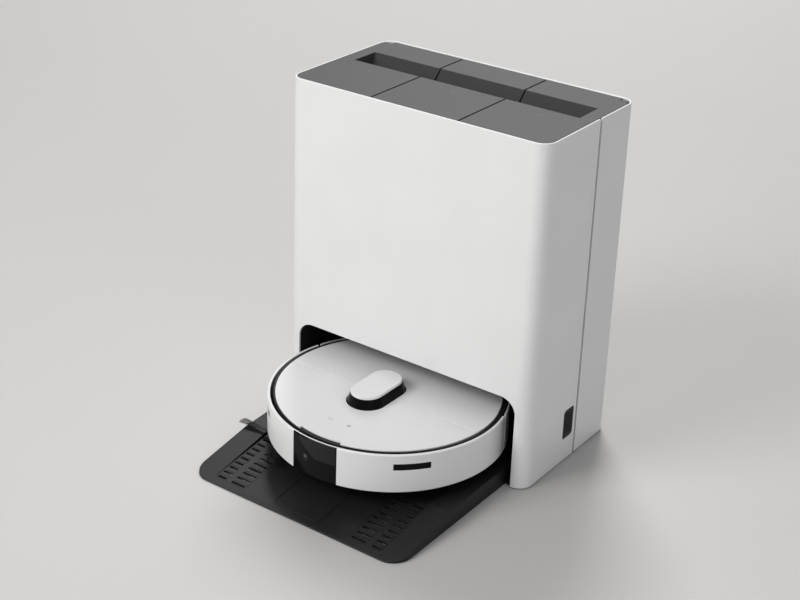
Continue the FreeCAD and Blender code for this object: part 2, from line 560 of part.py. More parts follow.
# ---------------------------------------------------------------- inside the station
def suction_housing():
    outer = fuse([cyl(52, 172, 258, 0, FAN_Y), box(-60, -24, FAN_Y + 20, 236, 180, 216)])
    inner = fuse([cyl(49, 175, 255, 0, FAN_Y), box(-57, -27, FAN_Y + 20, 240, 183, 213)])
    shell = outer.cut(inner)
    motor = cyl(26, 174, 208, 0, FAN_Y)
    shaft = cyl(3.0, 208, 232, 0, FAN_Y)
    ports = [cyl(22, 250, 262, 0, FAN_Y)]
    collar = cyl(23.6, 254, 266, 0, FAN_Y).cut(cyl(21, 250, 270, 0, FAN_Y))
    return fuse([cut(shell, ports), motor, shaft, collar])


def suction_impeller():
    disc = [cyl(44, 214, 216, 0, FAN_Y), cyl(8, 212, 240, 0, FAN_Y)]
    for k in range(9):
        blade = box(7, 43, -1, 1, 215, 238)
        blade.rotate(V(), Z, 40 * k)
        blade.translate(V(0, FAN_Y, 0))
        disc.append(blade)
    shroud = cyl(44, 237, 239, 0, FAN_Y).cut(cyl(21, 230, 245, 0, FAN_Y))
    return cut(fuse([*disc, shroud]), [cyl(3.05, 200, 233, 0, FAN_Y)])


def dust_duct():
    """Waste air pipe from the bay's port up to the bag, with its soft nose."""
    start = LINER_BACK - 19.5
    route = [(0, start + 14, PORT_Z), (0, DUCT_Y, PORT_Z), (0, DUCT_Y, BAG_PORT_Z), (0, 200.5, BAG_PORT_Z)]
    tube = pipe(route, DUCT_R, 19.5, DUCT_R - 2.2)
    nose = rod(DUCT_R + 3.5, (0, start, PORT_Z), (0, start + 16, PORT_Z))
    nose = nose.cut(rod(DUCT_R - 2.2, (0, start - 1, PORT_Z), (0, start + 17, PORT_Z)))
    rings = [rod(DUCT_R + 4.0, (0, start + 3 + 4 * i, PORT_Z), (0, start + 4.6 + 4 * i, PORT_Z))
             .cut(rod(DUCT_R, (0, start, PORT_Z), (0, start + 20, PORT_Z))) for i in range(3)]
    return fuse([tube, nose, *rings])


def dust_bag():
    bag = slab(-56, 56, 44, 196, 290, 470, 18)
    bag = soften(bag, 16, lambda p: p.z > 469 or p.z < 291)
    return bag


def dust_bag_collar():
    plate = slab(-48, 48, 330, 430, 0, 3, 6)
    plate.rotate(V(), X, 90)
    plate.translate(V(0, 199.9, 0))
    hole = rod(DUCT_R - 2, (0, 190, BAG_PORT_Z), (0, 205, BAG_PORT_Z))
    tab = box(-12, 12, 197.2, 199.6, 429, 446)
    return cut(fuse([plate, tab]), [hole])


def water_pumps():
    made = []
    for s in (-1, 1):
        x = s * 140
        head = slab(x - 24, x + 24, 96, 140, 236, 262, 6)
        motor = cyl(19, 188, 237, x, 118)
        foot = slab(x - 28, x + 28, 92, 144, 184, 188.5, 5)
        spigots = [cyl(4.4, 261, 272, x - 12, 118), cyl(4.4, 261, 272, x + 12, 118)]
        made.append(fuse([head, motor, foot, *spigots]))
    return made


def water_hoses():
    """From each tank port to its pump, and from the pump to the wash tray."""
    made = []
    for s in (-1, 1):
        x = s * 140
        top = [(s * VALVE_X, VALVE_Y, DECK_Z - 1.2), (s * VALVE_X, VALVE_Y, 300), (x + s * 12, 118, 300),
               (x + s * 12, 118, 272.2)]
        low = [(x - s * 12, 118, 272.2), (x - s * 12, 118, 292), (s * HOSE_X, 196, 292),
               (s * HOSE_X, 196, 36), (s * HOSE_X, LINER_BACK - 1.5, 36)]
        made += [pipe(top, 4.2, 13, 2.9), pipe(low, 4.2, 9, 2.9)]
        seal = cyl(8.6, DECK_Z - 4.5, DECK_Z - 1.2, s * VALVE_X, VALVE_Y)
        made[-2] = fuse([made[-2], seal.cut(cyl(2.9, DECK_Z - 6, DECK_Z + 5, s * VALVE_X, VALVE_Y))])
    return made


def power_board():
    y = 228.0
    board = box(58, 196, y, y + 1.8, 164, 256)
    parts = [
        box(66, 96, y - 26, y, 172, 206), box(102, 128, y - 20, y, 174, 202),
        *[rod(8, (x, y - 24, 184), (x, y, 184)) for x in (142, 164)],
        rod(6, (182, y - 16, 204), (182, y, 204)), box(156, 186, y - 7, y, 218, 248),
        *[box(68 + 9 * i, 70 + 9 * i, y - 16, y, 216, 248) for i in range(8)],
        box(66, 136, y - 3, y, 216, 248),
        *[rod(3, (x, y, z), (x, y + 16.3, z)) for x in (64, 190) for z in (169, 251)],
    ]
    return fuse([board, *parts])


def power_inlet():
    body = box(INLET_X - 15.6, INLET_X + 15.6, 226, BACK - 0.6, INLET_Z - 12.6, INLET_Z + 12.6)
    body = soften(body, 3, lambda p: p.y > BACK - 1)
    well = slab(INLET_X - 12, INLET_X + 12, INLET_Z - 8, INLET_Z + 8, 0, 17, 4)
    well.rotate(V(), X, 90)
    well.translate(V(0, BACK + 0.2, 0))
    blades = [box(INLET_X + dx - 2, INLET_X + dx + 2, BACK - 18, BACK - 5, INLET_Z - 1 + dz, INLET_Z + 1 + dz)
              for dx, dz in ((-7, -2), (7, -2), (0, 3.4))]
    tabs = [box(INLET_X + dx - 2, INLET_X + dx + 2, 214, 227, INLET_Z - 0.6, INLET_Z + 0.6) for dx in (-7, 7)]
    return fuse([cut(body, [well]), *blades, *tabs])


def charge_contacts():
    """Two sprung contact pins on one carrier behind the bay's rear wall."""
    reach = ROBOT_Y + math.sqrt(ROBOT_R**2 - CONTACT_X**2) + 0.6
    pins = []
    for s in (-1, 1):
        pin = rod(4.0, (s * CONTACT_X, reach, CONTACT_Z), (s * CONTACT_X, LINER_BACK + 9, CONTACT_Z))
        pins.append(soften(pin, 2.0, lambda p: p.y < reach + 0.1))
    carrier = box(-CONTACT_X - 7, CONTACT_X + 7, LINER_BACK + 8, LINER_BACK + 10,
                  CONTACT_Z - 7, CONTACT_Z + 6)
    notch = rod(DUCT_R + 3, (0, LINER_BACK, PORT_Z), (0, LINER_BACK + 14, PORT_Z))
    return fuse([*pins, carrier]).cut(notch)


def dock_screws():
    made = []
    for x, z in REAR_SCREWS:
        head = rod(2.1, (x, BACK - 2.2, z), (x, BACK - 0.1, z))
        slot = box(x - 3, x + 3, BACK - 1.0, BACK + 1, z - 0.5, z + 0.5)
        cross = box(x - 0.5, x + 0.5, BACK - 1.0, BACK + 1, z - 3, z + 3)
        shank = rod(1.5, (x, BACK - 11, z), (x, BACK - 2, z))
        made.append(cut(fuse([head, shank]), [slot, cross]))
    return made


# ---------------------------------------------------------------- robot
def body_plan(shrink, z0, z1):
    """Round plan that leaves room for the bumper's travel in front."""
    moved = cyl(BUMPER_IN - 0.5 - shrink, z0, z1, 0, BUMPER_TRAVEL + 0.3)
    return moved.common(cyl(BUMPER_IN - shrink, z0, z1))


def wheel_well(side, grow=0.0):
    x0, x1 = sorted((side * (87 - grow), side * (129 + grow)))
    return box(x0, x1, -62 - grow, 38 + grow, 0, DECK_LOW - 1 + grow)


def robot_chassis():
    t = BELLY_T
    pan = turned([(0, BELLY), (160, BELLY), (173.5, 17.6), (173.5, 19.2), (0, 19.2)])
    pan_in = turned([(0, BELLY + t), (159, BELLY + t), (169.5, 19.3), (0, 19.3)])
    wall = body_plan(3.4, 17, DECK_LOW).cut(body_plan(5.8, 10, DECK_LOW + 1))
    parts = [pan.cut(pan_in), wall]
    within = body_plan(4, BELLY, DECK_LOW - 0.5)
    parts += [wheel_well(s, 2).cut(wheel_well(s)).common(within) for s in (-1, 1)]
    brush_room = box(-79, 79, -70, -14, BELLY, 47)
    parts.append(brush_room.cut(box(-76.5, 76.5, -67.5, -16.5, 0, 44.5)))
    parts.append(cyl(27, BELLY, 26, 0, CASTER_Y).cut(cyl(24.6, 0, 23.5, 0, CASTER_Y)))
    parts.append(cyl(9, 22, 46, 0, CASTER_Y))
    parts.append(cyl(15.5, BELLY, 15.5, SIDE_BRUSH_X, SIDE_BRUSH_Y).common(cyl(173, 0, 30)))
    parts.append(cyl(14, 15, 44, SIDE_BRUSH_X, SIDE_BRUSH_Y).common(body_plan(3.6, 0, DECK_LOW)))
    parts.append(side_profile([(-15, 24), (32.4, 55.5), (32.4, 73), (24, 73), (-15, 46)], -32, 32))
    parts += [cyl(5, BELLY, 26, x, y) for x, y in ROBOT_SCREWS]
    for s in (-1, 1):
        parts.append(cyl(70.5, BELLY, 14.9, s * MOP_X, MOP_Y).common(cyl(169, 0, 30)))
        parts.append(cyl(16, 14, 52, s * MOP_X, MOP_Y))
        parts.append(fuse([box(s * 84 - 3, s * 84 + 3, ARM_Y - 7, ARM_Y + 7, 14, ARM_Z),
                           rod(7, (s * 84 - 3, ARM_Y, ARM_Z), (s * 84 + 3, ARM_Y, ARM_Z))]))
        parts.append(rod(3.0, (s * 84, ARM_Y, ARM_Z), (s * 104.5, ARM_Y, ARM_Z)))
    tools = [box(-76.5, 76.5, -67.5, -16.5, 0, 44.5),
             cyl(24.6, 0, 23.5, 0, CASTER_Y), cyl(5.05, 20, 42, 0, CASTER_Y),
             side_profile([(-20, 23), (33, 58), (33, 71), (24.5, 71), (-20, 42)], -30, 30),
             cyl(13, 0, 13, SIDE_BRUSH_X, SIDE_BRUSH_Y), cyl(4.3, 0, 30, SIDE_BRUSH_X, SIDE_BRUSH_Y),
             box(-32, 32, -180, -150, 27, 74)]
    tools += [fuse([cyl(3.2, 0, BELLY + 1.7, x, y), cyl(1.6, 0, 23, x, y)]) for x, y in ROBOT_SCREWS]
    keep_pins = [rod(3.0, (s * 82, ARM_Y, ARM_Z), (s * 104.5, ARM_Y, ARM_Z)) for s in (-1, 1)]
    for s in (-1, 1):
        tools += [wheel_well(s), cyl(68, 0, 12.4, s * MOP_X, MOP_Y), cyl(9.4, 0, 40, s * MOP_X, MOP_Y)]
    body = cut(fuse(parts), tools)
    bearings = [rod(4.04, (s * 76, BRUSH_Y, BRUSH_Z), (s * 81, BRUSH_Y, BRUSH_Z)) for s in (-1, 1)]
    port = rod(15.0, (0, 160, PORT_Z - WHEEL_PLANE), (0, 185, PORT_Z - WHEEL_PLANE))
    cliff = [slab(x - 9, x + 9, y - 4, y + 4, 0, 20, 3) for x, y in CLIFF]
    return cut(fuse([body, *keep_pins]), bearings + [port] + cliff)


def robot_deck():
    """Upper housing: the dark rim round the lid and the floor under it."""
    ring = body_plan(2.0, DECK_LOW, COVER_TOP - 1.6)
    seat = cyl(COVER_R + 0.5, DECK_LOW + DECK_T, 100)
    notch = arc_band(COVER_R - 4, COVER_R + 0.6, DECK_LOW + 1, COVER_TOP - 1.6, WINDOW_HALF_ANGLE - 0.2)
    deck = fuse([ring.cut(seat), notch])
    x, y = TURRET_X, TURRET_Y
    lidar_hole = capsule(x, y, TURRET_HALF, TURRET_R - 2.6, DECK_LOW - 1, 90)
    g = 1.0
    bin_hatch = slab(-BIN_HALF - g, BIN_HALF + g, BIN_FRONT - g, BIN_BACK + g, DECK_LOW - 1, 90, 9)
    rib = cyl(151.2, DECK_LOW, DECK_LOW + 3.0).cut(cyl(150, 0, 99))
    return cut(fuse([deck, rib]), [lidar_hole, bin_hatch])


def top_cover():
    disc = cyl(COVER_R, COVER_TOP - COVER_T, COVER_TOP)
    disc = soften(disc, 0.8, lambda p: p.z > COVER_TOP - 0.01)
    notch = arc_band(COVER_R - 4.4, COVER_R + 5, 70, 90, WINDOW_HALF_ANGLE)
    hole = capsule(TURRET_X, TURRET_Y, TURRET_HALF, TURRET_R + 0.7, 70, 90)
    crease = box(-COVER_R, COVER_R, CREASE_Y - 0.5, CREASE_Y + 0.5, COVER_TOP - 0.6, COVER_TOP + 1)
    marks = [cyl(2.6, COVER_TOP - 0.3, COVER_TOP + 1, sx * 16, -118).cut(cyl(1.9, 70, 90, sx * 16, -118))
             for sx in (-1, 1)]
    return cut(disc, [notch, hole, crease, *marks])


def bumper():
    t = BUMPER_T
    profile = [(ROBOT_R - t, BAND_LOW), (ROBOT_R - 1.2, BAND_LOW), (ROBOT_R, BAND_LOW + 1.2),
               (ROBOT_R, BAND_TOP - 1.2), (ROBOT_R - 1.2, BAND_TOP), (ROBOT_R - t - 0.8, BAND_TOP),
               (ROBOT_R - t - 0.8, BAND_TOP - 3), (ROBOT_R - t, BAND_TOP - 4)]
    band = turned(profile, 2 * BUMPER_HALF_ANGLE, -BUMPER_HALF_ANGLE)
    window = arc_band(ROBOT_R - 1.9, ROBOT_R + 2, BAND_LOW - 1, BAND_TOP + 1, WINDOW_HALF_ANGLE)
    sensors = [arc_band(ROBOT_R - 1.6, ROBOT_R + 2, SENSOR_LOW, SENSOR_HIGH, SENSOR_HALF_ANGLE, angle)
               for angle in (-SENSOR_ANGLE, SENSOR_ANGLE)]
    camera = arc_band(165, ROBOT_R + 2, BAND_LOW + 5, BAND_TOP - 5, WINDOW_HALF_ANGLE - 1.6)
    return cut(band, [window, *sensors, camera])


def bumper_windows():
    r0, r1 = ROBOT_R - 1.8, ROBOT_R
    ring = [(r0, BAND_LOW + 0.1), (r1 - 1.0, BAND_LOW + 0.1), (r1, BAND_LOW + 1.2), (r1, BAND_TOP - 1.2),
            (r1 - 1.0, BAND_TOP - 0.1), (r0, BAND_TOP - 0.1)]
    a = WINDOW_HALF_ANGLE - 0.06
    made = [turned(ring, 2 * a, -a)]
    for s in (-1, 1):
        made.append(arc_band(ROBOT_R - 1.5, ROBOT_R - 0.2, SENSOR_LOW + 0.1, SENSOR_HIGH - 0.1,
                             SENSOR_HALF_ANGLE - 0.05, s * SENSOR_ANGLE))
    return made


def camera_module():
    """Camera and lamp on a block behind the front window."""
    x, z = CAMERA_X, CAMERA_Z
    block = box(-30, 30, -166, -151, 28, 73)
    barrels = [rod(9.5, (x, -170, z), (x, -165, z)), rod(5.5, (16, -169, z - 8), (16, -165, z - 8))]
    hood = side_profile([(-169.5, 71), (-165, 71), (-165, 63)], -28, 28)
    glass = [rod(6.5, (x, -171, z), (x, -169, z)), rod(3.5, (16, -170, z - 8), (16, -168, z - 8))]
    return fuse([block, *barrels, hood, *glass])


def rear_panel():
    t = 2.6
    profile = [(ROBOT_R - t, BAND_LOW), (ROBOT_R - 1.2, BAND_LOW), (ROBOT_R, BAND_LOW + 1.2),
               (ROBOT_R, BAND_TOP - 1.2), (ROBOT_R - 1.2, BAND_TOP), (ROBOT_R - t, BAND_TOP)]
    band = turned(profile, 2 * (180 - PANEL_ANGLE), PANEL_ANGLE)
    port = rod(15.4, (0, 170, PORT_Z - WHEEL_PLANE), (0, 185, PORT_Z - WHEEL_PLANE))
    slots = []
    for s in (-1, 1):
        for k in range(9):
            for row in range(3):
                a = s * (134 + 2.6 * k)
                slots.append(arc_band(170, 185, 34 + 11 * row, 41 + 11 * row, 0.55, a))
    z = CONTACT_Z - WHEEL_PLANE
    plates = [arc_band(ROBOT_R - 1.2, 185, z - 7, z + 7, 3.0, s * 168.7) for s in (-1, 1)]
    return cut(band, [port, *slots, *plates])


def robot_contacts():
    """Charging plates let into the rear panel."""
    z = CONTACT_Z - WHEEL_PLANE
    return [arc_band(ROBOT_R - 1.15, ROBOT_R - 0.1, z - 6.9, z + 6.9, 2.95, s * 168.7) for s in (-1, 1)]


def stadium_loft(levels):
    """Solid through stadium outlines, each (half, radius, z), long along Y about the turret."""
    x, y = TURRET_X, TURRET_Y
    wires = [rounded_outline(x - r, x + r, y - h - r, y + h + r, [r - 1e-3] * 4, z) for h, r, z in levels]
    return Part.makeLoft(wires, True, True)


def lidar_skirt():
    """Dark window band of the turret, flared towards its foot."""
    h, low, high = TURRET_HALF, DECK_LOW + DECK_T, TURRET_TOP - TURRET_CAP_T
    outer = stadium_loft([(h, TURRET_R, low + 0.5), (h, TURRET_R - 1.0, COVER_TOP + 1.5),
                          (h, TURRET_CAP_R + 0.4, high)])
    inner = stadium_loft([(h, TURRET_R - 2.4, low), (h, TURRET_R - 3.2, COVER_TOP + 1.5),
                          (h, TURRET_CAP_R - 1.8, high + 1)])
    foot = capsule(TURRET_X, TURRET_Y, h, TURRET_R + 3, low + 0.05, low + 0.95)
    foot = foot.cut(capsule(TURRET_X, TURRET_Y, h, TURRET_R - 2.4, 0, 99))
    return fuse([outer.cut(inner), foot])


def lidar_cap():
    h, r, top = TURRET_HALF, TURRET_CAP_R, TURRET_TOP
    cap = capsule(TURRET_X, TURRET_Y, h, r, top - TURRET_CAP_T + 0.05, top)
    cap = soften(cap, 1.8, lambda p: p.z > top - 0.01)
    return cap


def lidar_head():
    x, y = TURRET_X, LIDAR_HEAD_Y
    drum = cyl(18, DECK_LOW + 4, TURRET_TOP - TURRET_CAP_T - 1.2, x, y)
    body = fuse([drum, cyl(9, 62, DECK_LOW + 5, x, y)])
    window = box(x - 14, x + 14, y - 20, y - 12, 83, 92)
    lenses = [rod(3.4, (x + dx, y - 14.6, 87.5), (x + dx, y - 10, 87.5)) for dx in (-7, 7)]
    return fuse([cut(body, [window]), *lenses])


def lidar_motor():
    """Fixed base that carries the spinning head."""
    x, y = TURRET_X, LIDAR_HEAD_Y
    base = slab(x - 22, x + 22, y - 30, y + 22, 58, 61.5, 6)
    can = rod(9, (x, y - 22, 60), (x, y - 22, 73))
    return fuse([base, can])


def dustbin():
    """Open-topped bin, its lid and its pleated filter."""
    x, y0, y1, z0, z1 = BIN_HALF, BIN_FRONT, BIN_BACK, BIN_LOW, BIN_TOP - 0.9
    body = slab(-x, x, y0, y1, z0, z1, 8)
    inside = slab(-x + 2, x - 2, y0 + 2, y1 - 12, z0 + 2, z1 + 5, 6)
    filter_room = slab(-x + 8, x - 8, y1 - 10, y1 - 2, z0 + 2, z1 + 5, 2)
    cover = slab(-x, x, y0, y1, z1 + 0.1, BIN_TOP, 8)
    mouth = box(-29, 29, y0 - 1, y0 + 4, 59, 70)
    outlet = box(-20, 20, y1 - 14, y1 + 1, z0 + 5, z1 - 5)
    backing = box(-66, 66, y1 - 9.6, y1 - 8.6, z0 + 2.2, z1 - 1)
    folds = [box(-66 + 6 * i, -64.6 + 6 * i, y1 - 9.6, y1 - 2.4, z0 + 2.2, z1 - 1) for i in range(22)]
    pleats = fuse([backing, *folds])
    return cut(body, [inside, filter_room, mouth, outlet]), pleats, cover


def robot_fan():
    volute = cyl(24, 32, 66, 0, FAN_BACK)
    outlet = box(-12, 12, FAN_BACK, FAN_BACK + 44, 36, 52)
    throat = box(-24, 24, BIN_BACK + 0.6, FAN_BACK - 10, 54, 70)
    return fuse([volute, outlet, throat])


def robot_screws():
    return [fuse([cyl(3.0, BELLY + 0.1, BELLY + 1.6, x, y), cyl(1.5, BELLY + 1, 22, x, y)]).cut(
        cyl(1.3, BELLY, BELLY + 1.0, x, y)) for x, y in ROBOT_SCREWS]


def battery():
    pack = slab(-74, 74, -104, -74, 28, 68, 4)
    lead = box(60, 70, -76, -71, 40, 52)
    return fuse([pack, lead])


def main_board():
    board = slab(-80, 80, -106, -72, 69, 70.4, 3)
    chips = [box(-60, -40, -98, -80, 70.3, 72), box(-20, 6, -100, -76, 70.3, 72.6),
             box(24, 34, -96, -86, 70.3, 73.5), box(48, 58, -102, -80, 70.3, 73.8),
             box(-76, -68, -100, -78, 70.3, 73.8)]
    return fuse([board, *chips])


def main_brush():
    """Roller with two-handed spiral rubber blades and a journal at each end."""
    core = rod(13.0, (-BRUSH_HALF + 3, 0, 0), (BRUSH_HALF - 3, 0, 0))
    ends = [rod(4.0, (s * (BRUSH_HALF - 4), 0, 0), (s * (BRUSH_HALF + 2.6), 0, 0)) for s in (-1, 1)]
    caps = [rod(15.0, (s * (BRUSH_HALF - 5), 0, 0), (s * (BRUSH_HALF - 1.5), 0, 0)) for s in (-1, 1)]
    blades = []
    steps, half = 12, BRUSH_HALF - 6
    for k in range(5):
        for side in (-1, 1):
            wires = []
            for i in range(steps // 2 + 1):
                x = side * half * i / (steps // 2)
                a = math.radians(72 * k + 50.0 * i / (steps // 2))
                u, w = V(0, math.cos(a), math.sin(a)), V(0, -math.sin(a), math.cos(a))
                section = [(12, -1.3), (19.6, -0.7), (19.6, 0.7), (12, 1.3)]
                p = [V(x, 0, 0) + u * r + w * s for r, s in section]
                wires.append(Part.makePolygon(p + [p[0]]))
            blades.append(Part.makeLoft(wires, True, True))
    roller = fuse([core, *ends, *caps, *blades])
    roller.translate(V(0, BRUSH_Y, BRUSH_Z))
    return roller


def brush_guard():
    """Clip-in frame round the brush opening."""
    frame = slab(-82, 82, -73, -11, GUARD_LOW, BELLY - 0.1, 4)
    opening = slab(-74.5, 74.5, -64.5, -19.5, 0, 20, 3)
    return cut(frame, [opening])


def side_brush():
    """Three tapered arms on a hub whose spindle goes up into the gearbox."""
    x, y = SIDE_BRUSH_X, SIDE_BRUSH_Y
    hub = [cyl(11.5, 4.4, 8.4, x, y), cyl(6.5, 8, 12, x, y), cyl(4.0, 11, 28, x, y)]
    arms = []
    for k in range(3):
        plan = [(7, -3.4), (34, -3.2), (SIDE_BRUSH_R, -1.2), (SIDE_BRUSH_R, 1.2), (34, 3.2), (7, 3.4)]
        plan.append(plan[0])
        arm = Part.Face(Part.makePolygon([V(a, b, 0) for a, b in plan])).extrude(V(0, 0, 1.5))
        arm.rotate(V(), Z, 60 + 120 * k)
        arm.translate(V(x, y, 4.5))
        arms.append(arm)
    return fuse([*hub, *arms])


def wheel_arm(side):
    """Gearbox that swings about its front pin and carries the drive axle."""
    x0, x1 = sorted((side * 89.0, side * 103.5))
    case = fuse([
        box(x0, x1, ARM_Y, 0, 24, 48), rod(12, (x0, ARM_Y, ARM_Z), (x1, ARM_Y, ARM_Z)),
        rod(15, (x0, 0, TYRE_R), (x1, 0, TYRE_R)), rod(9, (x0, -24, 46), (x1, -24, 46)),
    ])
    axle = rod(4.0, (side * 100, 0, TYRE_R), (side * 125.0, 0, TYRE_R))
    case = cut(case, [rod(3.05, (side * 80, ARM_Y, ARM_Z), (side * 130, ARM_Y, ARM_Z))])
    return fuse([case, axle])


def wheel_hub(side):
    a, b = side * (WHEEL_X - 9), side * (WHEEL_X + 9)
    rim = rod(HUB_R, (a, 0, TYRE_R), (b, 0, TYRE_R))
    pocket = rod(HUB_R - 4, (side * (WHEEL_X + 2), 0, TYRE_R), (side * (WHEEL_X + 12), 0, TYRE_R))
    boss = rod(8, (side * WHEEL_X, 0, TYRE_R), (side * (WHEEL_X + 8), 0, TYRE_R))
    spokes = []
    for k in range(6):
        s = box(*sorted((side * WHEEL_X, side * (WHEEL_X + 7))), 6, HUB_R - 2, -1.5, 1.5)
        s.rotate(V(), X, 60 * k)
        s.translate(V(0, 0, TYRE_R))
        spokes.append(s)
    hub = fuse([rim.cut(pocket), boss, *spokes])
    return hub.cut(rod(4.05, (side * 90, 0, TYRE_R), (side * 125.4, 0, TYRE_R)))


def tyre(side):
    a, b = WHEEL_X - TYRE_W / 2, WHEEL_X + TYRE_W / 2
    ring = rod(TYRE_R, (side * a, 0, TYRE_R), (side * b, 0, TYRE_R))
    ring = ring.cut(rod(HUB_R, (side * (a - 1), 0, TYRE_R), (side * (b + 1), 0, TYRE_R)))
    grooves = []
    for k in range(24):
        g = box(*sorted((side * (a - 1), side * (WHEEL_X - 2))), TYRE_R - 2.0, TYRE_R + 1, -1.3, 1.3)
        h = box(*sorted((side * (WHEEL_X + 2), side * (b + 1))), TYRE_R - 2.0, TYRE_R + 1, -1.3, 1.3)
        g.rotate(V(), X, 15 * k)
        h.rotate(V(), X, 15 * k + 7.5)
        for tool in (g, h):
            tool.translate(V(0, 0, TYRE_R))
            grooves.append(tool)
    return ring.cut(grooves)


def caster_fork():
    y = CASTER_Y + CASTER_TRAIL
    disc = cyl(22.5, 17.5, 22.5, 0, CASTER_Y)
    stem = cyl(5.0, 22, 40, 0, CASTER_Y)
    cheeks = [fuse([box(s * 9.4 - 1.6, s * 9.4 + 1.6, y - 5, y + 5, CASTER_R, 18),
                    rod(5, (s * 9.4 - 1.6, y, CASTER_R), (s * 9.4 + 1.6, y, CASTER_R))]) for s in (-1, 1)]
    pocket = slab(-7.8, 7.8, y - 11.5, y + 11.5, 0, 20.6, 3)
    axle = rod(2.0, (-9.4, y, CASTER_R), (9.4, y, CASTER_R))
    disc = disc.cut(pocket.common(cyl(21, 0, 40, 0, CASTER_Y)))
    return fuse([disc, stem, *cheeks, axle])


def caster_wheel():
    y = CASTER_Y + CASTER_TRAIL
    wheel = soften(rod(CASTER_R, (-7, y, CASTER_R), (7, y, CASTER_R)), 2.5, lambda p: True)
    return wheel.cut(rod(2.04, (-8, y, CASTER_R), (8, y, CASTER_R)))


def mop_plate(side):
    x = side * MOP_X
    disc = cyl(MOP_R - 2, 6, 8.8, x, MOP_Y)
    rim = cyl(MOP_R - 2, 8.7, 10.6, x, MOP_Y).cut(cyl(MOP_R - 4.5, 8, 12, x, MOP_Y))
    ribs = []
    for k in range(6):
        rib = box(6, MOP_R - 3.5, -1, 1, 8.2, 10.2)
        rib.rotate(V(), Z, 60 * k)
        rib.translate(V(x, MOP_Y, 0))
        ribs.append(rib)
    return fuse([disc, rim, *ribs, cyl(9.0, 8.5, 36, x, MOP_Y)])


def mop_pad(side):
    pad = cyl(MOP_R, 0.1, 5.9, side * MOP_X, MOP_Y)
    return soften(pad, 2.0, lambda p: True)


# ---------------------------------------------------------------- build
def station_nodes():
    left, right = sorted_lid(-1), sorted_lid(1)
    r = CORNER_R - LID_INSET
    yield "front_shell", [front_shell()]
    yield "rear_shell", [rear_shell()]
    yield "side_vents", side_vents()
    yield "inner_frame", [inner_frame()]
    yield "bay_liner", [bay_liner()]
    yield "base_ramp", [base_ramp()]
    yield "ramp_treads", ramp_treads()
    yield "ramp_centre_panel", [ramp_centre_panel()]
    yield "wash_tray", [wash_tray()]
    yield "dock_feet", dock_feet()
    yield "dock_screws", dock_screws()
    yield "power_inlet", [power_inlet()]
    yield "power_board", [power_board()]
    yield "suction_housing", [suction_housing()]
    yield "suction_impeller", [suction_impeller()]
    yield "dust_duct", [dust_duct()]
    yield "dust_bag", [dust_bag()]
    yield "dust_bag_collar", [dust_bag_collar()]
    yield "water_pumps", water_pumps()
    yield "water_hoses", water_hoses()
    yield "charge_contacts", [charge_contacts()]
    yield "dust_lid", [lid(-LID_SPLIT + LID_GAP / 2, LID_SPLIT - LID_GAP / 2, [0.6, 0.6, 0.6, 0.6])]
    yield "clean_lid", [lid(left[0], left[1], [r, 0.6, 0.6, r])]
    yield "dirty_lid", [lid(right[0], right[1], [0.6, r, r, 0.6])]
    yield "clean_tank", [tank(-1)]
    yield "clean_tank_valve", [tank_valve(-1)]
    yield "dirty_tank", [fuse([tank(1), float_bracket()])]
    yield "dirty_tank_float", [dirty_float()]


def robot_nodes():
    yield "robot_chassis", [robot_chassis()]
    yield "robot_deck", [robot_deck()]
    yield "top_cover", [top_cover()]
    yield "bumper", [bumper()]
    yield "bumper_windows", bumper_windows()
    yield "rear_panel", [rear_panel()]
    yield "robot_contacts", robot_contacts()
    yield "lidar_skirt", [lidar_skirt()]
    yield "lidar_cap", [lidar_cap()]
    yield "lidar_head", [lidar_head()]
    yield "lidar_motor", [lidar_motor()]
    yield "camera_module", [camera_module()]
    yield "dustbin", dustbin()
    yield "robot_fan", [robot_fan()]
    yield "battery", [battery()]
    yield "main_board", [main_board()]
    yield "main_brush", [main_brush()]
    yield "brush_guard", [brush_guard()]
    yield "side_brush", [side_brush()]
    yield "robot_screws", robot_screws()
    for side, word in ((-1, "left"), (1, "right")):
        yield f"{word}_wheel_arm", [wheel_arm(side)]
        yield f"{word}_wheel_hub", [wheel_hub(side)]
        yield f"{word}_tyre", [tyre(side)]
        yield f"{word}_mop_plate", [mop_plate(side)]
        yield f"{word}_mop_pad", [mop_pad(side)]
    yield "caster_fork", [caster_fork()]
    yield "caster_wheel", [caster_wheel()]


os.makedirs("parts", exist_ok=True)
for name, shapes in station_nodes():
    save(name, *shapes)
for name, shapes in robot_nodes():
    save(name, *[place(s) for s in shapes])
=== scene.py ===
"""Looks of a robot vacuum and its wash-and-empty station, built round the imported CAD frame."""

import json
import math

import bmesh
import bpy
from mathutils import Matrix, Vector


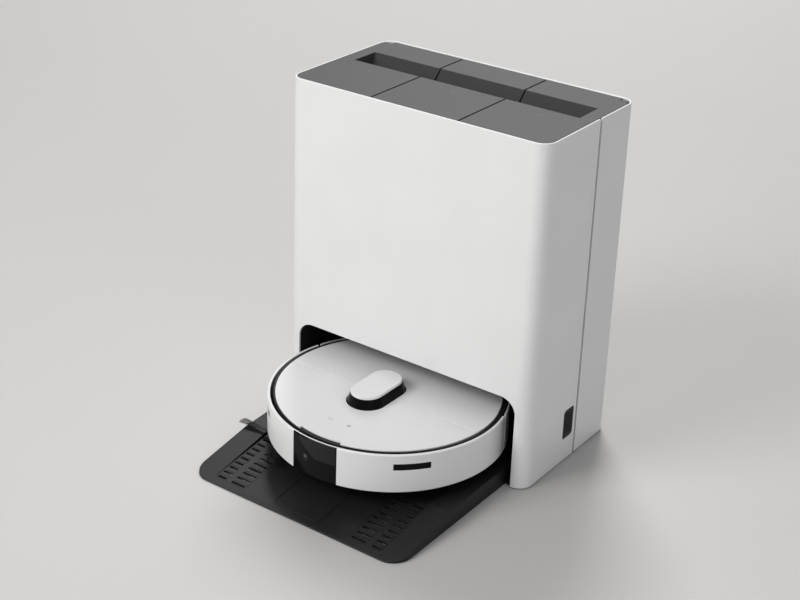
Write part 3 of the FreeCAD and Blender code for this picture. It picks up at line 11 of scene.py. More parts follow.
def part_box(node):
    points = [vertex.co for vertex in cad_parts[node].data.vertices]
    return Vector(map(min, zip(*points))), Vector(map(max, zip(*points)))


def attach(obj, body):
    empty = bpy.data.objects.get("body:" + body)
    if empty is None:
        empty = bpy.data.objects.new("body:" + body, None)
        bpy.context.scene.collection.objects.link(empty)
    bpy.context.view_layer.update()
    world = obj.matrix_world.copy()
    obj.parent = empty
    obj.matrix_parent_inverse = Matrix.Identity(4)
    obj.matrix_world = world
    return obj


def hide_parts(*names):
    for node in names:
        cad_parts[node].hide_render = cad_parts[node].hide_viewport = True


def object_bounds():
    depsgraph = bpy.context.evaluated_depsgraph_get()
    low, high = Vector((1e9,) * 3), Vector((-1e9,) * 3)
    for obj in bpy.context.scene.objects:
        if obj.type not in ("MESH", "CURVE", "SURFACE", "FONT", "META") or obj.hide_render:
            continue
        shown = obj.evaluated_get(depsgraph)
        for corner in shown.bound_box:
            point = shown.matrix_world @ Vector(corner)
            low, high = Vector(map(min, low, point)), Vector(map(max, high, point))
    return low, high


bl_info = {
    "name": "Robot vacuum and station",
    "version": (1, 0, 0),
    "blender": (4, 5, 0),
    "location": "View3D > Sidebar > Vacuum",
    "description": "Finishes the robot vacuum and its wash-and-empty station piece by piece",
    "category": "Object",
}

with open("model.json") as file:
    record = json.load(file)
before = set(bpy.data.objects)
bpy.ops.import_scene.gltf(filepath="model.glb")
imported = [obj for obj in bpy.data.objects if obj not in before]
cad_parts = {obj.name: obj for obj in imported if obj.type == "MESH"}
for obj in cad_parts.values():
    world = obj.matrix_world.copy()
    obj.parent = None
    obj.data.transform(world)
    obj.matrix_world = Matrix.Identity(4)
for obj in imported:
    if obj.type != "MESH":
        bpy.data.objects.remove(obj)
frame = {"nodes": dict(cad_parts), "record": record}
NODES = frame["nodes"]
CAD_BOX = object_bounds()
MM = 0.001


# ---------------------------------------------------------------- colours and view
def tint(name, words, rgb):
    return bpy.props.FloatVectorProperty(
        name=name, description=words, default=rgb, size=3, subtype="COLOR", min=0.0, max=1.0)


class VacuumColours(bpy.types.PropertyGroup):
    shell: tint("Shell", "White of the station and robot covers", (0.78, 0.78, 0.775))
    lid: tint("Lids", "Dark grey of the station's top lids", (0.062, 0.062, 0.064))
    ramp: tint("Ramp", "Charcoal of the ramp and its inserts", (0.010, 0.010, 0.0105))
    inner: tint("Inner parts", "Black of the bay and the robot's underside", (0.011, 0.011, 0.012))
    frame_grey: tint("Frames", "Grey of hidden frames and carriers", (0.055, 0.055, 0.058))
    window: tint("Windows", "Black of the smoked windows", (0.004, 0.004, 0.0045))
    board: tint("Boards", "Solder mask of the circuit boards", (0.02, 0.12, 0.045))
    felt: tint("Dust bag", "Nonwoven felt of the dust bag", (0.66, 0.65, 0.61))
    mop: tint("Mop cloth", "Microfibre of the mop pads", (0.23, 0.24, 0.26))
    floor: tint("Floor", "Studio floor and backdrop", (0.48, 0.47, 0.46))


def tilt(name, words, degrees):
    return bpy.props.FloatProperty(
        name=name, description=words, default=math.radians(degrees), subtype="ANGLE")


class VacuumView(bpy.types.PropertyGroup):
    azimuth: tilt("Azimuth", "Camera's turn about the object", 35.14)
    elevation: tilt("Elevation", "Camera's height above the horizon", 23.45)
    roll: tilt("Roll", "Camera's roll", -2.05)
    place: bpy.props.FloatVectorProperty(
        name="Place", description="Where the camera stands", size=3, subtype="XYZ", unit="LENGTH",
        default=(1.1952, -1.7091, 1.2755))
    lens: bpy.props.FloatProperty(
        name="Lens", description="Focal length in millimetres", default=72.15)
    shift: bpy.props.FloatProperty(name="Shift", description="Vertical lens shift", default=-0.1)


# ---------------------------------------------------------------- shader workshop
class Wire:
    """A shader value that ordinary arithmetic extends with Math nodes."""

    def __init__(self, shop, socket):
        self.shop, self.socket = shop, socket

    def math(self, operation, *values):
        return self.shop.add("ShaderNodeMath", {"operation": operation}, dict(enumerate(values)))

    def __add__(self, other):
        return self.math("ADD", self, other)

    def __sub__(self, other):
        return self.math("SUBTRACT", self, other)

    def __rsub__(self, other):
        return self.math("SUBTRACT", other, self)

    def __mul__(self, other):
        return self.math("MULTIPLY", self, other)

    __radd__, __rmul__ = __add__, __mul__

    def __pow__(self, other):
        return self.math("POWER", self, other)

    def limited(self, low=0.0, high=1.0):
        return self.shop.add("ShaderNodeClamp", {}, {"Value": self, "Min": low, "Max": high})

    def step(self, low, high):
        return self.shop.add("ShaderNodeMapRange", {"interpolation_type": "SMOOTHSTEP"},
                             {"Value": self, "From Min": low, "From Max": high})


class Shop:
    """One material and the nodes that make it."""

    def __init__(self, name, **fixed):
        self.material = bpy.data.materials.new(name)
        self.material.use_nodes = True
        self.tree = self.material.node_tree
        self.tree.nodes.clear()
        self.shader = self.tree.nodes.new("ShaderNodeBsdfPrincipled")
        output = self.tree.nodes.new("ShaderNodeOutputMaterial")
        self.tree.links.new(self.shader.outputs[0], output.inputs["Surface"])
        self.place = self.add("ShaderNodeTexCoord", {}, {}, "Object")
        for socket, value in fixed.items():
            self.shader.inputs[socket.replace("_", " ")].default_value = value

    def add(self, kind, settings, sockets, out=0):
        """Add a node: its settings first, then its sockets' values or links."""
        node = self.tree.nodes.new(kind)
        for key, value in settings.items():
            if key == "stops":
                ramp = node.color_ramp.elements
                while len(ramp) < len(value):
                    ramp.new(0.5)
                for element, (position, colour) in zip(ramp, value):
                    element.position, element.color = position, (*colour, 1.0)
            else:
                setattr(node, key, value)
        for key, value in sockets.items():
            self.feed(node.inputs[key], value)
        return Wire(self, node.outputs[out])

    def feed(self, socket, value):
        if isinstance(value, Wire):
            self.tree.links.new(value.socket, socket)
        elif hasattr(value, "__len__") and len(value) == 3 and len(socket.default_value) == 4:
            socket.default_value = (*value, 1.0)
        else:
            socket.default_value = value

    def noise(self, scale, detail=2.0, roughness=0.5, stretch=None):
        where = self.place
        if stretch:
            where = self.add("ShaderNodeMapping", {}, {"Vector": where, "Scale": stretch})
        return self.add("ShaderNodeTexNoise", {}, {
            "Vector": where, "Scale": scale, "Detail": detail, "Roughness": roughness})

    def edges(self, radius):
        """1 on convex edges, 0 on open faces."""
        soft = self.add("ShaderNodeBevel", {"samples": 4}, {"Radius": radius})
        true = self.add("ShaderNodeNewGeometry", {}, {}, "Normal")
        flat = self.add(
            "ShaderNodeVectorMath", {"operation": "DOT_PRODUCT"}, {0: soft, 1: true}, "Value")
        return (1 - flat).step(0.01, 0.25)

    def mix(self, factor, a, b):
        """Blend two colours; a mix node's colours are its sockets 6 and 7 in, 2 out."""
        return self.add("ShaderNodeMix", {"data_type": "RGBA"}, {"Factor": factor, 6: a, 7: b}, 2)

    def bump(self, height, distance, strength=1.0):
        return self.add(
            "ShaderNodeBump", {}, {"Height": height, "Distance": distance, "Strength": strength})

    def set(self, **wires):
        for socket, value in wires.items():
            self.feed(self.shader.inputs[socket.replace("_", " ")], value)
        return self.material


def shade(rgb, factor):
    return tuple(min(1.0, c * factor) for c in rgb)


def moulded(name, rgb, roughness, grain=0.0, grain_size=0.6, wear_and_highlight=0.12, coat=0.0, **fixed):
    """Moulded plastic: faint mottling, a fine spark-eroded grain, slightly polished edges, and convex
    edges painted lighter, part wear and part painted highlight.
    """
    shop = Shop(name, Coat_Weight=coat, Coat_Roughness=0.12, **fixed)
    cloud = shop.noise(9.0, 3.0)
    fine = shop.noise(1.0 / (grain_size * MM), 2.0, 0.6)
    edge = shop.edges(0.6 * MM)
    colour = shop.mix(cloud.step(0.3, 0.7), shade(rgb, 0.985), shade(rgb, 1.012))
    # convex edges painted lighter: part edge wear, part painted highlight
    colour = shop.mix(edge * wear_and_highlight, colour, shade(rgb, 1.7))
    rough = (fine - 0.5) * 0.10 + (cloud - 0.5) * 0.08 + roughness
    shop.set(Base_Color=colour, Roughness=(rough - edge * 0.08).limited(0.03, 1.0))
    if grain:
        shop.set(Normal=shop.bump(fine, grain * MM, 0.5))
    return shop.material


def circuit_board(name, rgb):
    """Solder mask over fine copper tracks."""
    shop = Shop(name, Coat_Weight=0.4, Coat_Roughness=0.15)
    tracks = shop.noise(160.0, 0.0, 0.5, (1.0, 1.0, 0.08)).step(0.54, 0.56)
    cloud = shop.noise(30.0, 2.0)
    base = shop.mix(cloud, shade(rgb, 0.8), shade(rgb, 1.15))
    return shop.set(
        Base_Color=shop.mix(tracks, base, shade(rgb, 1.9)),
        Roughness=(cloud * 0.15 + 0.28).limited(),
        Normal=shop.bump(tracks, 0.05 * MM, 0.4),
    )


def embossed_felt(name, rgb):
    """Nonwoven felt, embossed with a regular grid of weld points, with loose fibres."""
    shop = Shop(name, Sheen_Weight=0.25)
    dots = shop.add(
        "ShaderNodeTexVoronoi", {}, {"Vector": shop.place, "Scale": 330.0, "Randomness": 0.05})
    pit = dots.step(0.12, 0.34)
    fibre = shop.noise(900.0, 3.0, 0.7, (1.0, 1.0, 0.25))
    cloud = shop.noise(14.0, 3.0)
    base = shop.mix(cloud, shade(rgb, 0.88), shade(rgb, 1.06))
    return shop.set(
        Base_Color=shop.mix(pit, shade(rgb, 0.8), base),
        Roughness=(fibre * 0.1 + 0.85).limited(),
        Normal=shop.bump(pit * 0.6 + fibre * 0.4, 0.25 * MM, 0.8),
    )


def looped_pile(name, rgb):
    """Microfibre pile in small loops."""
    shop = Shop(name, Sheen_Weight=0.4)
    loops = shop.add("ShaderNodeTexVoronoi", {}, {"Vector": shop.place, "Scale": 520.0})
    strands = shop.noise(1500.0, 2.0, 0.6)
    cloud = shop.noise(40.0, 3.0)
    base = shop.mix(cloud, shade(rgb, 0.85), shade(rgb, 1.15))
    return shop.set(
        Base_Color=shop.mix(loops, shade(rgb, 1.25), base),
        Roughness=(strands * 0.1 + 0.88).limited(),
        Normal=shop.bump(loops * -1.0 + strands * 0.3, 0.7 * MM, 0.9),
    )


MATERIALS = {}


def make_materials(c):
    soft = (0.016, 0.016, 0.017)
    # name: colour, roughness, grain depth and size in mm, edge wear and painted edge highlight, clear
    # coat
    plastics = {
        "shell_white": (c.shell, 0.34, 0.012, 0.5, 0.25, 0.15),
        "lid_grey": (c.lid, 0.46, 0.03, 0.45, 0.3),
        # grip ribs at 0.6 of the lid grey: painted shade on the trough slope
        "grip_grey_painted_shade": (shade(c.lid, 0.6), 0.6, 0.0, 0.45, 0.2),
        "ramp_black": (c.ramp, 0.44, 0.05, 0.7, 0.35),
        "inner_black": (c.inner, 0.5, 0.03, 0.6, 0.3),
        "frame_grey": (c.frame_grey, 0.5, 0.03, 0.6, 0.3),
        "pump_grey": (shade(c.frame_grey, 4.0), 0.45, 0.03, 0.6),
        "smoke_window": (c.window, 0.12, 0.0, 0.6, 0.0),
        "smoke_hood": (shade(c.window, 3.0), 0.25, 0.0, 0.6, 0.0),
        "lens_glass": ((0.012, 0.014, 0.03), 0.04, 0.0, 0.6, 0.0, 1.0),
        "print_grey": ((0.12, 0.12, 0.125), 0.5, 0.0, 0.3, 0.0),
        "cover_print": ((0.45, 0.45, 0.455), 0.5, 0.0, 0.3, 0.0),
        "clear_tank": ((0.62, 0.66, 0.68), 0.16, 0.0, 0.6, 0.1),
        "waste_tank": ((0.26, 0.28, 0.30), 0.18, 0.0, 0.6, 0.1),
        "hose_clear": ((0.6, 0.62, 0.63), 0.3, 0.0, 0.6, 0.0),
        "soft_black": (soft, 0.7, 0.05, 0.8, 0.2),
        "bristle": (soft, 0.6, 0.0, 0.4, 0.2),
        "tyre_rubber": ((0.024, 0.024, 0.025), 0.78, 0.08, 0.9, 0.3),
        "screw_steel": ((0.55, 0.55, 0.55), 0.3, 0.02, 0.4, 0.2),
        "contact_metal": ((0.78, 0.72, 0.6), 0.22, 0.01, 0.4, 0.2),
        "bag_card": ((0.42, 0.34, 0.24), 0.85, 0.05, 0.8, 0.1),
        "filter_paper": ((0.75, 0.75, 0.7), 0.9, 0.05, 0.8, 0.0),
    }
    dull = {
        "lid_grey": 0.3, "grip_grey_painted_shade": 0.2, "ramp_black": 0.3, "inner_black": 0.35,
        "smoke_window": 0.1, "smoke_hood": 0.2, "bristle": 0.3,
    }
    clear = {"clear_tank": 0.55, "waste_tank": 0.45, "hose_clear": 0.4}
    metal = {"screw_steel": 1.0, "contact_metal": 1.0}
    for name, values in plastics.items():
        fixed = {}
        for socket, group in (
            ("Specular_IOR_Level", dull), ("Transmission_Weight", clear), ("Metallic", metal),
        ):
            if name in group:
                fixed[socket] = group[name]
        MATERIALS[name] = moulded(name, *values, **fixed)
    MATERIALS["pcb_green"] = circuit_board("pcb_green", c.board)
    MATERIALS["bag_fabric"] = embossed_felt("bag_fabric", c.felt)
    MATERIALS["mop_cloth"] = looped_pile("mop_cloth", c.mop)


class VacuumOperator:
    bl_options = {"REGISTER", "UNDO"}


class VACUUM_OT_materials(VacuumOperator, bpy.types.Operator):
    """Make every finish and lay it on the CAD pieces"""

    bl_idname = "vacuum.materials"
    bl_label = "Finishes"

    def execute(self, context):
        make_materials(context.scene.vacuum_colours)
        for part in frame["record"]["subparts"]:
            node = NODES[part["node"]]
            node.data.materials.clear()
            node.data.materials.append(MATERIALS[part["material_slot"]])
        return {"FINISHED"}


def node_body(node):
    """Name of the CAD body that a node rides on."""
    groups = frame["record"]["behaviour"]["bodies"]
    return next(body for body, members in groups.items() if node in members)


def node_slot(node):
    return next(p["material_slot"] for p in frame["record"]["subparts"] if p["node"] == node)


def place_mesh(name, bm, material, body, smooth=40.0):
    """Turn a bmesh into a piece that rides on a body; faces smooth up to the given angle."""
    for face in bm.faces:
        face.smooth = True
    mesh = bpy.data.meshes.new(name)
    bm.to_mesh(mesh)
    bm.free()
    mesh.set_sharp_from_angle(angle=math.radians(smooth))
    mesh.materials.append(MATERIALS[material])
    piece = bpy.data.objects.new(name, mesh)
    bpy.context.scene.collection.objects.link(piece)
    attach(piece, body)
    return piece


FLAT_DEGREES = 0.4  # faces that bend less than this are one face
ROOM_FOR_BEVEL = 2.3  # bevel widths that the shortest edge at a corner must have


def dress(node, edge, material=None, corner=28.0, segments=2):
    """Merged copy of a CAD node with its corners broken by a small bevel.

    Corners bend by more than the given angle; an edge is left sharp where its
    neighbours are too short to hold the bevel.
    """
    bm = bmesh.new()
    bm.from_mesh(NODES[node].data)
    bmesh.ops.remove_doubles(bm, verts=bm.verts, dist=0.01 * MM)
    bmesh.ops.dissolve_limit(
        bm, angle_limit=math.radians(FLAT_DEGREES), verts=bm.verts, edges=bm.edges,
        use_dissolve_boundaries=False)
    width = edge * MM
    weight = bm.edges.layers.float.new("bevel_weight_edge")
    reach = {v: min(e.calc_length() for e in v.link_edges) for v in bm.verts if v.link_edges}
    for e in bm.edges:
        bent = len(e.link_faces) == 2 and e.calc_face_angle(0.0) > math.radians(corner)
        if bent and min(reach[v] for v in e.verts) > ROOM_FOR_BEVEL * width:
            e[weight] = 1.0
    slot = node_slot(node)
    piece = place_mesh(f"{node}_part", bm, material or slot, node_body(node), corner)
    if edge:
        bevel = piece.modifiers.new("edges", "BEVEL")
        bevel.width, bevel.segments, bevel.limit_method = width, segments, "WEIGHT"
        bevel.use_clamp_overlap = False
    weighted = piece.modifiers.new("flat_faces", "WEIGHTED_NORMAL")
    weighted.keep_sharp = True
    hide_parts(node)
    return piece


# width in millimetres of the broken edge on each node
STATION_EDGES = {"front_shell": 0.5, "rear_shell": 0.5, "side_vents": 0.25, "bay_liner": 0.5}
LID_EDGE = 0.45
RAMP_EDGES = {"base_ramp": 0.6, "ramp_treads": 0.25, "ramp_centre_panel": 0.2, "wash_tray": 0.4}
ROBOT_EDGES = {
    "top_cover": 0.3, "bumper": 0.3, "rear_panel": 0.3, "robot_deck": 0.3, "lidar_skirt": 0.3,
    "lidar_cap": 0.0, "bumper_windows": 0.2,
}
INNER_EDGES = {
    "suction_housing": 0.5, "suction_impeller": 0.2, "dust_duct": 0.3, "dust_bag_collar": 0.3,
    "water_pumps": 0.5, "power_inlet": 0.3, "charge_contacts": 0.3, "clean_tank": 0.4,
    "dirty_tank": 0.4, "clean_tank_valve": 0.2, "dirty_tank_float": 0.4, "robot_chassis": 0.3,
    "lidar_head": 0.3, "lidar_motor": 0.3, "camera_module": 0.3, "dustbin": 0.3, "robot_fan": 0.4,
    "battery": 0.5, "main_brush": 0.25, "brush_guard": 0.3, "left_wheel_arm": 0.4,
    "right_wheel_arm": 0.4, "left_wheel_hub": 0.3, "right_wheel_hub": 0.3, "left_tyre": 0.4,
    "right_tyre": 0.4, "left_mop_plate": 0.3, "right_mop_plate": 0.3, "caster_fork": 0.3,
    "dock_feet": 0.3, "inner_frame": 0.4,
}


class VACUUM_OT_station_covers(VacuumOperator, bpy.types.Operator):
    """Station shells, louvres and bay lining with broken edges"""

    bl_idname = "vacuum.station_covers"
    bl_label = "Station covers"

    def execute(self, context):
        for node, edge in STATION_EDGES.items():
            dress(node, edge)
        return {"FINISHED"}


class VACUUM_OT_lids(VacuumOperator, bpy.types.Operator):
    """The three top lids with the finger trough"""

    bl_idname = "vacuum.lids"
    bl_label = "Top lids"

    def execute(self, context):
        for node in ("clean_lid", "dust_lid", "dirty_lid"):
            dress(node, LID_EDGE, segments=3)
        return {"FINISHED"}


class VACUUM_OT_trough_grips(VacuumOperator, bpy.types.Operator):
    """Fine grip ribs moulded into the slope behind the finger trough, in a darker grey that is painted
    shade on the slope
    """

    bl_idname = "vacuum.trough_grips"
    bl_label = "Trough grips"

    def execute(self, context):
        foot, head = Vector((0.0, 160.2, 506.4)), Vector((0.0, 184.3, 534.5))
        along = head - foot
        outward = Vector((0.0, -along.z, along.y)).normalized()
        ribs, crest, valley = 18, 0.4, 0.12
        for name, body, x0, x1 in (
            ("clean_lid_grip", "clean_tank_lid", -194.2, -75.9),
            ("dust_lid_grip", "bag_lid", -72.1, 72.1),
            ("dirty_lid_grip", "dirty_tank_lid", 75.9, 194.2),
        ):
            bm = bmesh.new()
            rows = []
            for i in range(2 * ribs + 1):
                at = foot + along * (i / (2 * ribs)) + outward * (crest if i % 2 else valley)
                rows.append([bm.verts.new((x * MM, at.y * MM, at.z * MM)) for x in (x0, x1)])
            for low, high in zip(rows, rows[1:]):
                bm.faces.new((low[0], low[1], high[1], high[0]))
            # the ribs' darker grey is painted shade on the slope
            place_mesh(name, bm, "grip_grey_painted_shade", body, smooth=20.0)
        return {"FINISHED"}


class VACUUM_OT_ramp(VacuumOperator, bpy.types.Operator):
    """Ramp, grip treads, centre panel and wash tray"""

    bl_idname = "vacuum.ramp"
    bl_label = "Ramp"

    def execute(self, context):
        for node, edge in RAMP_EDGES.items():
            dress(node, edge)
        return {"FINISHED"}


class VACUUM_OT_robot_covers(VacuumOperator, bpy.types.Operator):
    """Robot cover, bumper, rear panel, rim and turret"""

    bl_idname = "vacuum.robot_covers"
    bl_label = "Robot covers"

    def execute(self, context):
        for node, edge in ROBOT_EDGES.items():
            dress(node, edge)
        return {"FINISHED"}


ROBOT_CENTRE = Vector((0.0, -23.0, 24.3)) * MM
WINDOW_RADIUS = 179.03  # just outside the window's own face


def solid_of_revolution(profile, turn=Matrix.Identity(4), steps=48):
    """A closed (radius, height) outline in millimetres spun about Z, then placed."""
    bm = bmesh.new()
    start = [bm.verts.new((r * MM, 0.0, z * MM)) for r, z in profile]
    rim = [bm.edges.new(pair) for pair in zip(start, start[1:] + start[:1])]
    bmesh.ops.spin(
        bm, geom=start + rim, cent=(0, 0, 0), axis=(0, 0, 1), angle=math.tau, steps=steps,
        use_merge=True)
    bmesh.ops.remove_doubles(bm, verts=bm.verts, dist=0.001 * MM)
    bmesh.ops.transform(bm, matrix=turn, verts=bm.verts)
    bmesh.ops.recalc_face_normals(bm, faces=bm.faces)
    return bm


PRINT_LIFT, PRINT_THICK = 0.01, 0.06


def only_verts(geometry):
    return [v for v in geometry if isinstance(v, bmesh.types.BMVert)]


def plate(bm, outline, surface):
    """Printed film in the shape of a closed (x, y) outline, on a surface at that height."""
    z = surface + PRINT_LIFT
    face = bm.faces.new([bm.verts.new((x * MM, y * MM, z * MM)) for x, y in outline])
    lifted = bmesh.ops.extrude_face_region(bm, geom=[face])["geom"]
    bmesh.ops.translate(bm, vec=(0, 0, PRINT_THICK * MM), verts=only_verts(lifted))


def drop_outline(x, y, size, steps=28):
    """A water drop, pointed end up."""
    turns = [math.tau * i / steps for i in range(steps)]
    return [
        (x + 0.85 * size * math.sin(t) * math.sin(t / 2) ** 2, y + size * math.cos(t)) for t in turns
    ]


def arc_outline(x, y, outer, inner, start, end, steps=24):
    """A band between two radii, from one angle in degrees to another."""
    angles = [math.radians(start + (end - start) * i / steps) for i in range(steps + 1)]
    return ([(x + outer * math.cos(a), y + outer * math.sin(a)) for a in angles]
            + [(x + inner * math.cos(a), y + inner * math.sin(a)) for a in reversed(angles)])


class VACUUM_OT_prints(VacuumOperator, bpy.types.Operator):
    """Printed symbols on the lids and the robot's cover"""

    bl_idname = "vacuum.prints"
    bl_label = "Printed symbols"

    def execute(self, context):
        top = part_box("dust_lid")[1].z / MM
        bag = [
            (-1.6, 108.9), (1.6, 108.9), (1.6, 112.0), (0.7, 112.0), (0.7, 112.7), (-0.7, 112.7),
            (-0.7, 112.0), (-1.6, 112.0),
        ]
        for name, body, x, y, glyph in (
            ("clean_lid_symbol", "clean_tank_lid", -148.0, 107.0, drop_outline(-148.0, 107.0, 2.0)),
            ("dust_lid_symbol", "bag_lid", 0.0, 110.5, bag),
            ("dirty_lid_symbol", "dirty_tank_lid", 148.0, 107.0, drop_outline(148.0, 107.0, 2.0)),
        ):
            bm = bmesh.new()
            plate(bm, glyph, top)
            for start in (90.5, 270.5):
                plate(bm, arc_outline(x, y, 4.6, 4.2, start, start + 179.0), top)
            bmesh.ops.recalc_face_normals(bm, faces=bm.faces)
            place_mesh(name, bm, "print_grey", body)
        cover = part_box("top_cover")[1].z / MM
        switch = [(-16.3, -141.0), (-15.7, -141.0), (-15.7, -137.0), (-16.3, -137.0)]
        house = [(13.2, -143.6), (18.8, -143.6), (18.8, -140.4), (16.0, -137.8), (13.2, -140.4)]
        bm = bmesh.new()
        for outline in (arc_outline(-16, -141, 3.6, 3.0, -230, 50), switch, house):
            plate(bm, outline, cover)
        bmesh.ops.recalc_face_normals(bm, faces=bm.faces)
        place_mesh("cover_symbols", bm, "cover_print", "cover")
        return {"FINISHED"}


class VACUUM_OT_window_details(VacuumOperator, bpy.types.Operator):
    """Grey hood patch and camera lens seen in the front window"""

    bl_idname = "vacuum.window_details"
    bl_label = "Camera behind the window"

    def execute(self, context):
        low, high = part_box("bumper_windows")
        foot, head = low.z / MM + 1.5, high.z / MM - 2.0
        left_end, sweep, columns_across, rows_up = -8.5, 20.4, 16, 4
        bm = bmesh.new()
        columns = []
        for i in range(columns_across + 1):
            share = i / columns_across
            angle = math.radians(left_end + sweep * share)
            drop = 0.06 + 0.42 * min(1.0, share / 0.45) ** 0.8
            bottom = head - (head - foot) * drop
            x = WINDOW_RADIUS * math.sin(angle) * MM
            y = -WINDOW_RADIUS * math.cos(angle) * MM + ROBOT_CENTRE.y
            columns.append([
                bm.verts.new((x, y, (bottom + (head - bottom) * k / rows_up) * MM))
                for k in range(rows_up + 1)
            ])
        for left, right in zip(columns, columns[1:]):
            for k in range(rows_up):
                bm.faces.new((left[k], right[k], right[k + 1], left[k + 1]))
        bmesh.ops.recalc_face_normals(bm, faces=bm.faces)
        if sum(-f.normal.y for f in bm.faces) < 0:
            bmesh.ops.reverse_faces(bm, faces=bm.faces)
        bmesh.ops.solidify(bm, geom=list(bm.faces), thickness=0.08 * MM)
        place_mesh("window_hood", bm, "smoke_hood", "bumper_body")

        lens_x, lens_height = -14.0, 48.0
        angle = math.asin(lens_x / WINDOW_RADIUS)
        out = Vector((math.sin(angle), -math.cos(angle), 0.0))
        foot_of_lens = Vector((0.0, ROBOT_CENTRE.y, ROBOT_CENTRE.z + lens_height * MM))
        place = out * WINDOW_RADIUS * MM + foot_of_lens
        turn = Matrix.Translation(place) @ out.to_track_quat("Z", "Y").to_matrix().to_4x4()
        ring = [(3.4, -0.6), (6.4, -0.6), (6.4, 0.2), (6.0, 0.45), (4.0, 0.35), (3.4, 0.0)]
        bulge = [(3.3 * math.cos(a), 0.9 * math.sin(a) - 0.1) for a in (0.3, 0.6, 0.9, 1.2)]
        dome = [(0.0, -0.6), (3.3, -0.6), (3.3, -0.1), *bulge, (0.0, 0.8)]
        for name, profile, finish in (
            ("lens_ring", ring, "smoke_hood"), ("lens_glass", dome, "lens_glass"),
        ):
            bm = solid_of_revolution(profile, turn)
            place_mesh(name, bm, finish, "bumper_body")
        return {"FINISHED"}


class VACUUM_OT_edge_brush(VacuumOperator, bpy.types.Operator):
    """Side brush: hub, rubber roots and bundles of bristles"""

    bl_idname = "vacuum.edge_brush"
    bl_label = "Side brush"

    def execute(self, context):
        low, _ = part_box("side_brush")
        joints = frame["record"]["behaviour"]["joints"]
        joint = next(j for j in joints if j["name"] == "edge_brush_spin")
        centre = Matrix.Translation((joint["pos_m"][0], joint["pos_m"][1], low.z))
        aims = [centre @ Matrix.Rotation(math.radians(60 + 120 * k), 4, "Z") for k in range(3)]
        hub = [
            (0.0, 0.0), (9.5, 0.0), (11.5, 1.2), (11.5, 3.2), (10.0, 4.0), (6.5, 4.0), (6.5, 7.6),
            (4.0, 7.6), (4.0, 23.5), (0.0, 23.5),
        ]
        bm = solid_of_revolution(hub, centre)
        for aim in aims:
            root = bmesh.ops.create_cube(bm, size=1.0)["verts"]
            bmesh.ops.scale(bm, vec=(27 * MM, 6.4 * MM, 2.4 * MM), verts=root)
            bmesh.ops.translate(bm, vec=(21.5 * MM, 0, 1.4 * MM), verts=root)
            for v in root:
                if v.co.x > 30 * MM:
                    v.co.y *= 0.72
                    v.co.z = 1.3 * MM + (v.co.z - 1.3 * MM) * 0.7
            bmesh.ops.transform(bm, matrix=aim, verts=root)
        edges = [e for e in bm.edges if e.calc_face_angle(0.0) > math.radians(40)]
        bmesh.ops.bevel(
            bm, geom=edges, offset=0.4 * MM, segments=2, profile=0.5, affect="EDGES", material=-1,
            clamp_overlap=True)
        hub_piece = place_mesh("edge_brush_hub", bm, "soft_black", "edge_brush")

        rows, columns = 2, 13
        bm = bmesh.new()
        for aim in aims:
            for i in range(rows * columns):
                row, column = divmod(i, columns)
                spread = (column - 6) / 6.0
                length = 74.6 - 2.2 * spread ** 2 - (i * 7 % 5) * 0.5
                start = Vector((33.0, spread * 1.9, 0.9 + row * 0.8)) * MM
                end = Vector((length, spread * 7.5, 0.5 + row * 0.7)) * MM
                along = end - start
                hair = bmesh.ops.create_cone(
                    bm, cap_ends=True, segments=5, radius1=0.34 * MM, radius2=0.2 * MM,
                    depth=along.length)["verts"]
                lean = along.to_track_quat("Z", "Y").to_matrix().to_4x4()
                turn = Matrix.Translation((start + end) / 2) @ lean
                bmesh.ops.transform(bm, matrix=aim @ turn, verts=hair)
        bristles = place_mesh("edge_brush_bristles", bm, "bristle", "edge_brush")
        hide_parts("side_brush")
        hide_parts("side_brush")
        return {"FINISHED"}


class VACUUM_OT_mop_pads(VacuumOperator, bpy.types.Operator):
    """Two looped mop cloths with a sewn hem"""

    bl_idname = "vacuum.mop_pads"
    bl_label = "Mop pads"

    def execute(self, context):
        for side in ("left", "right"):
            low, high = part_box(f"{side}_mop_pad")
            centre = Vector(((low.x + high.x) / 2, (low.y + high.y) / 2, low.z))
            outline = [
                (0.0, 0.5), (20, 0.25), (40, 0.1), (56, 0.1), (59, 0.7), (60.5, 1.1), (62, 0.6),
                (64.6, 0.9), (65.8, 2.2), (65.9, 3.6), (65.0, 5.0), (63.0, 5.6), (40, 5.7), (0.0, 5.7),
            ]
            bm = solid_of_revolution(outline, Matrix.Translation(centre), 96)
            waves, wave_height = 12, 0.35 * MM
            for v in bm.verts:
                arm = v.co - centre
                reach = arm.xy.length
                if 5 * MM < reach < 57 * MM and arm.z < 1 * MM:
                    v.co.z += wave_height * (1 + math.sin(waves * math.atan2(arm.y, arm.x)))
            piece = place_mesh(f"{side}_mop_cloth", bm, "mop_cloth", f"{side}_mop", 180.0)
            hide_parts(f"{side}_mop_pad")
        return {"FINISHED"}


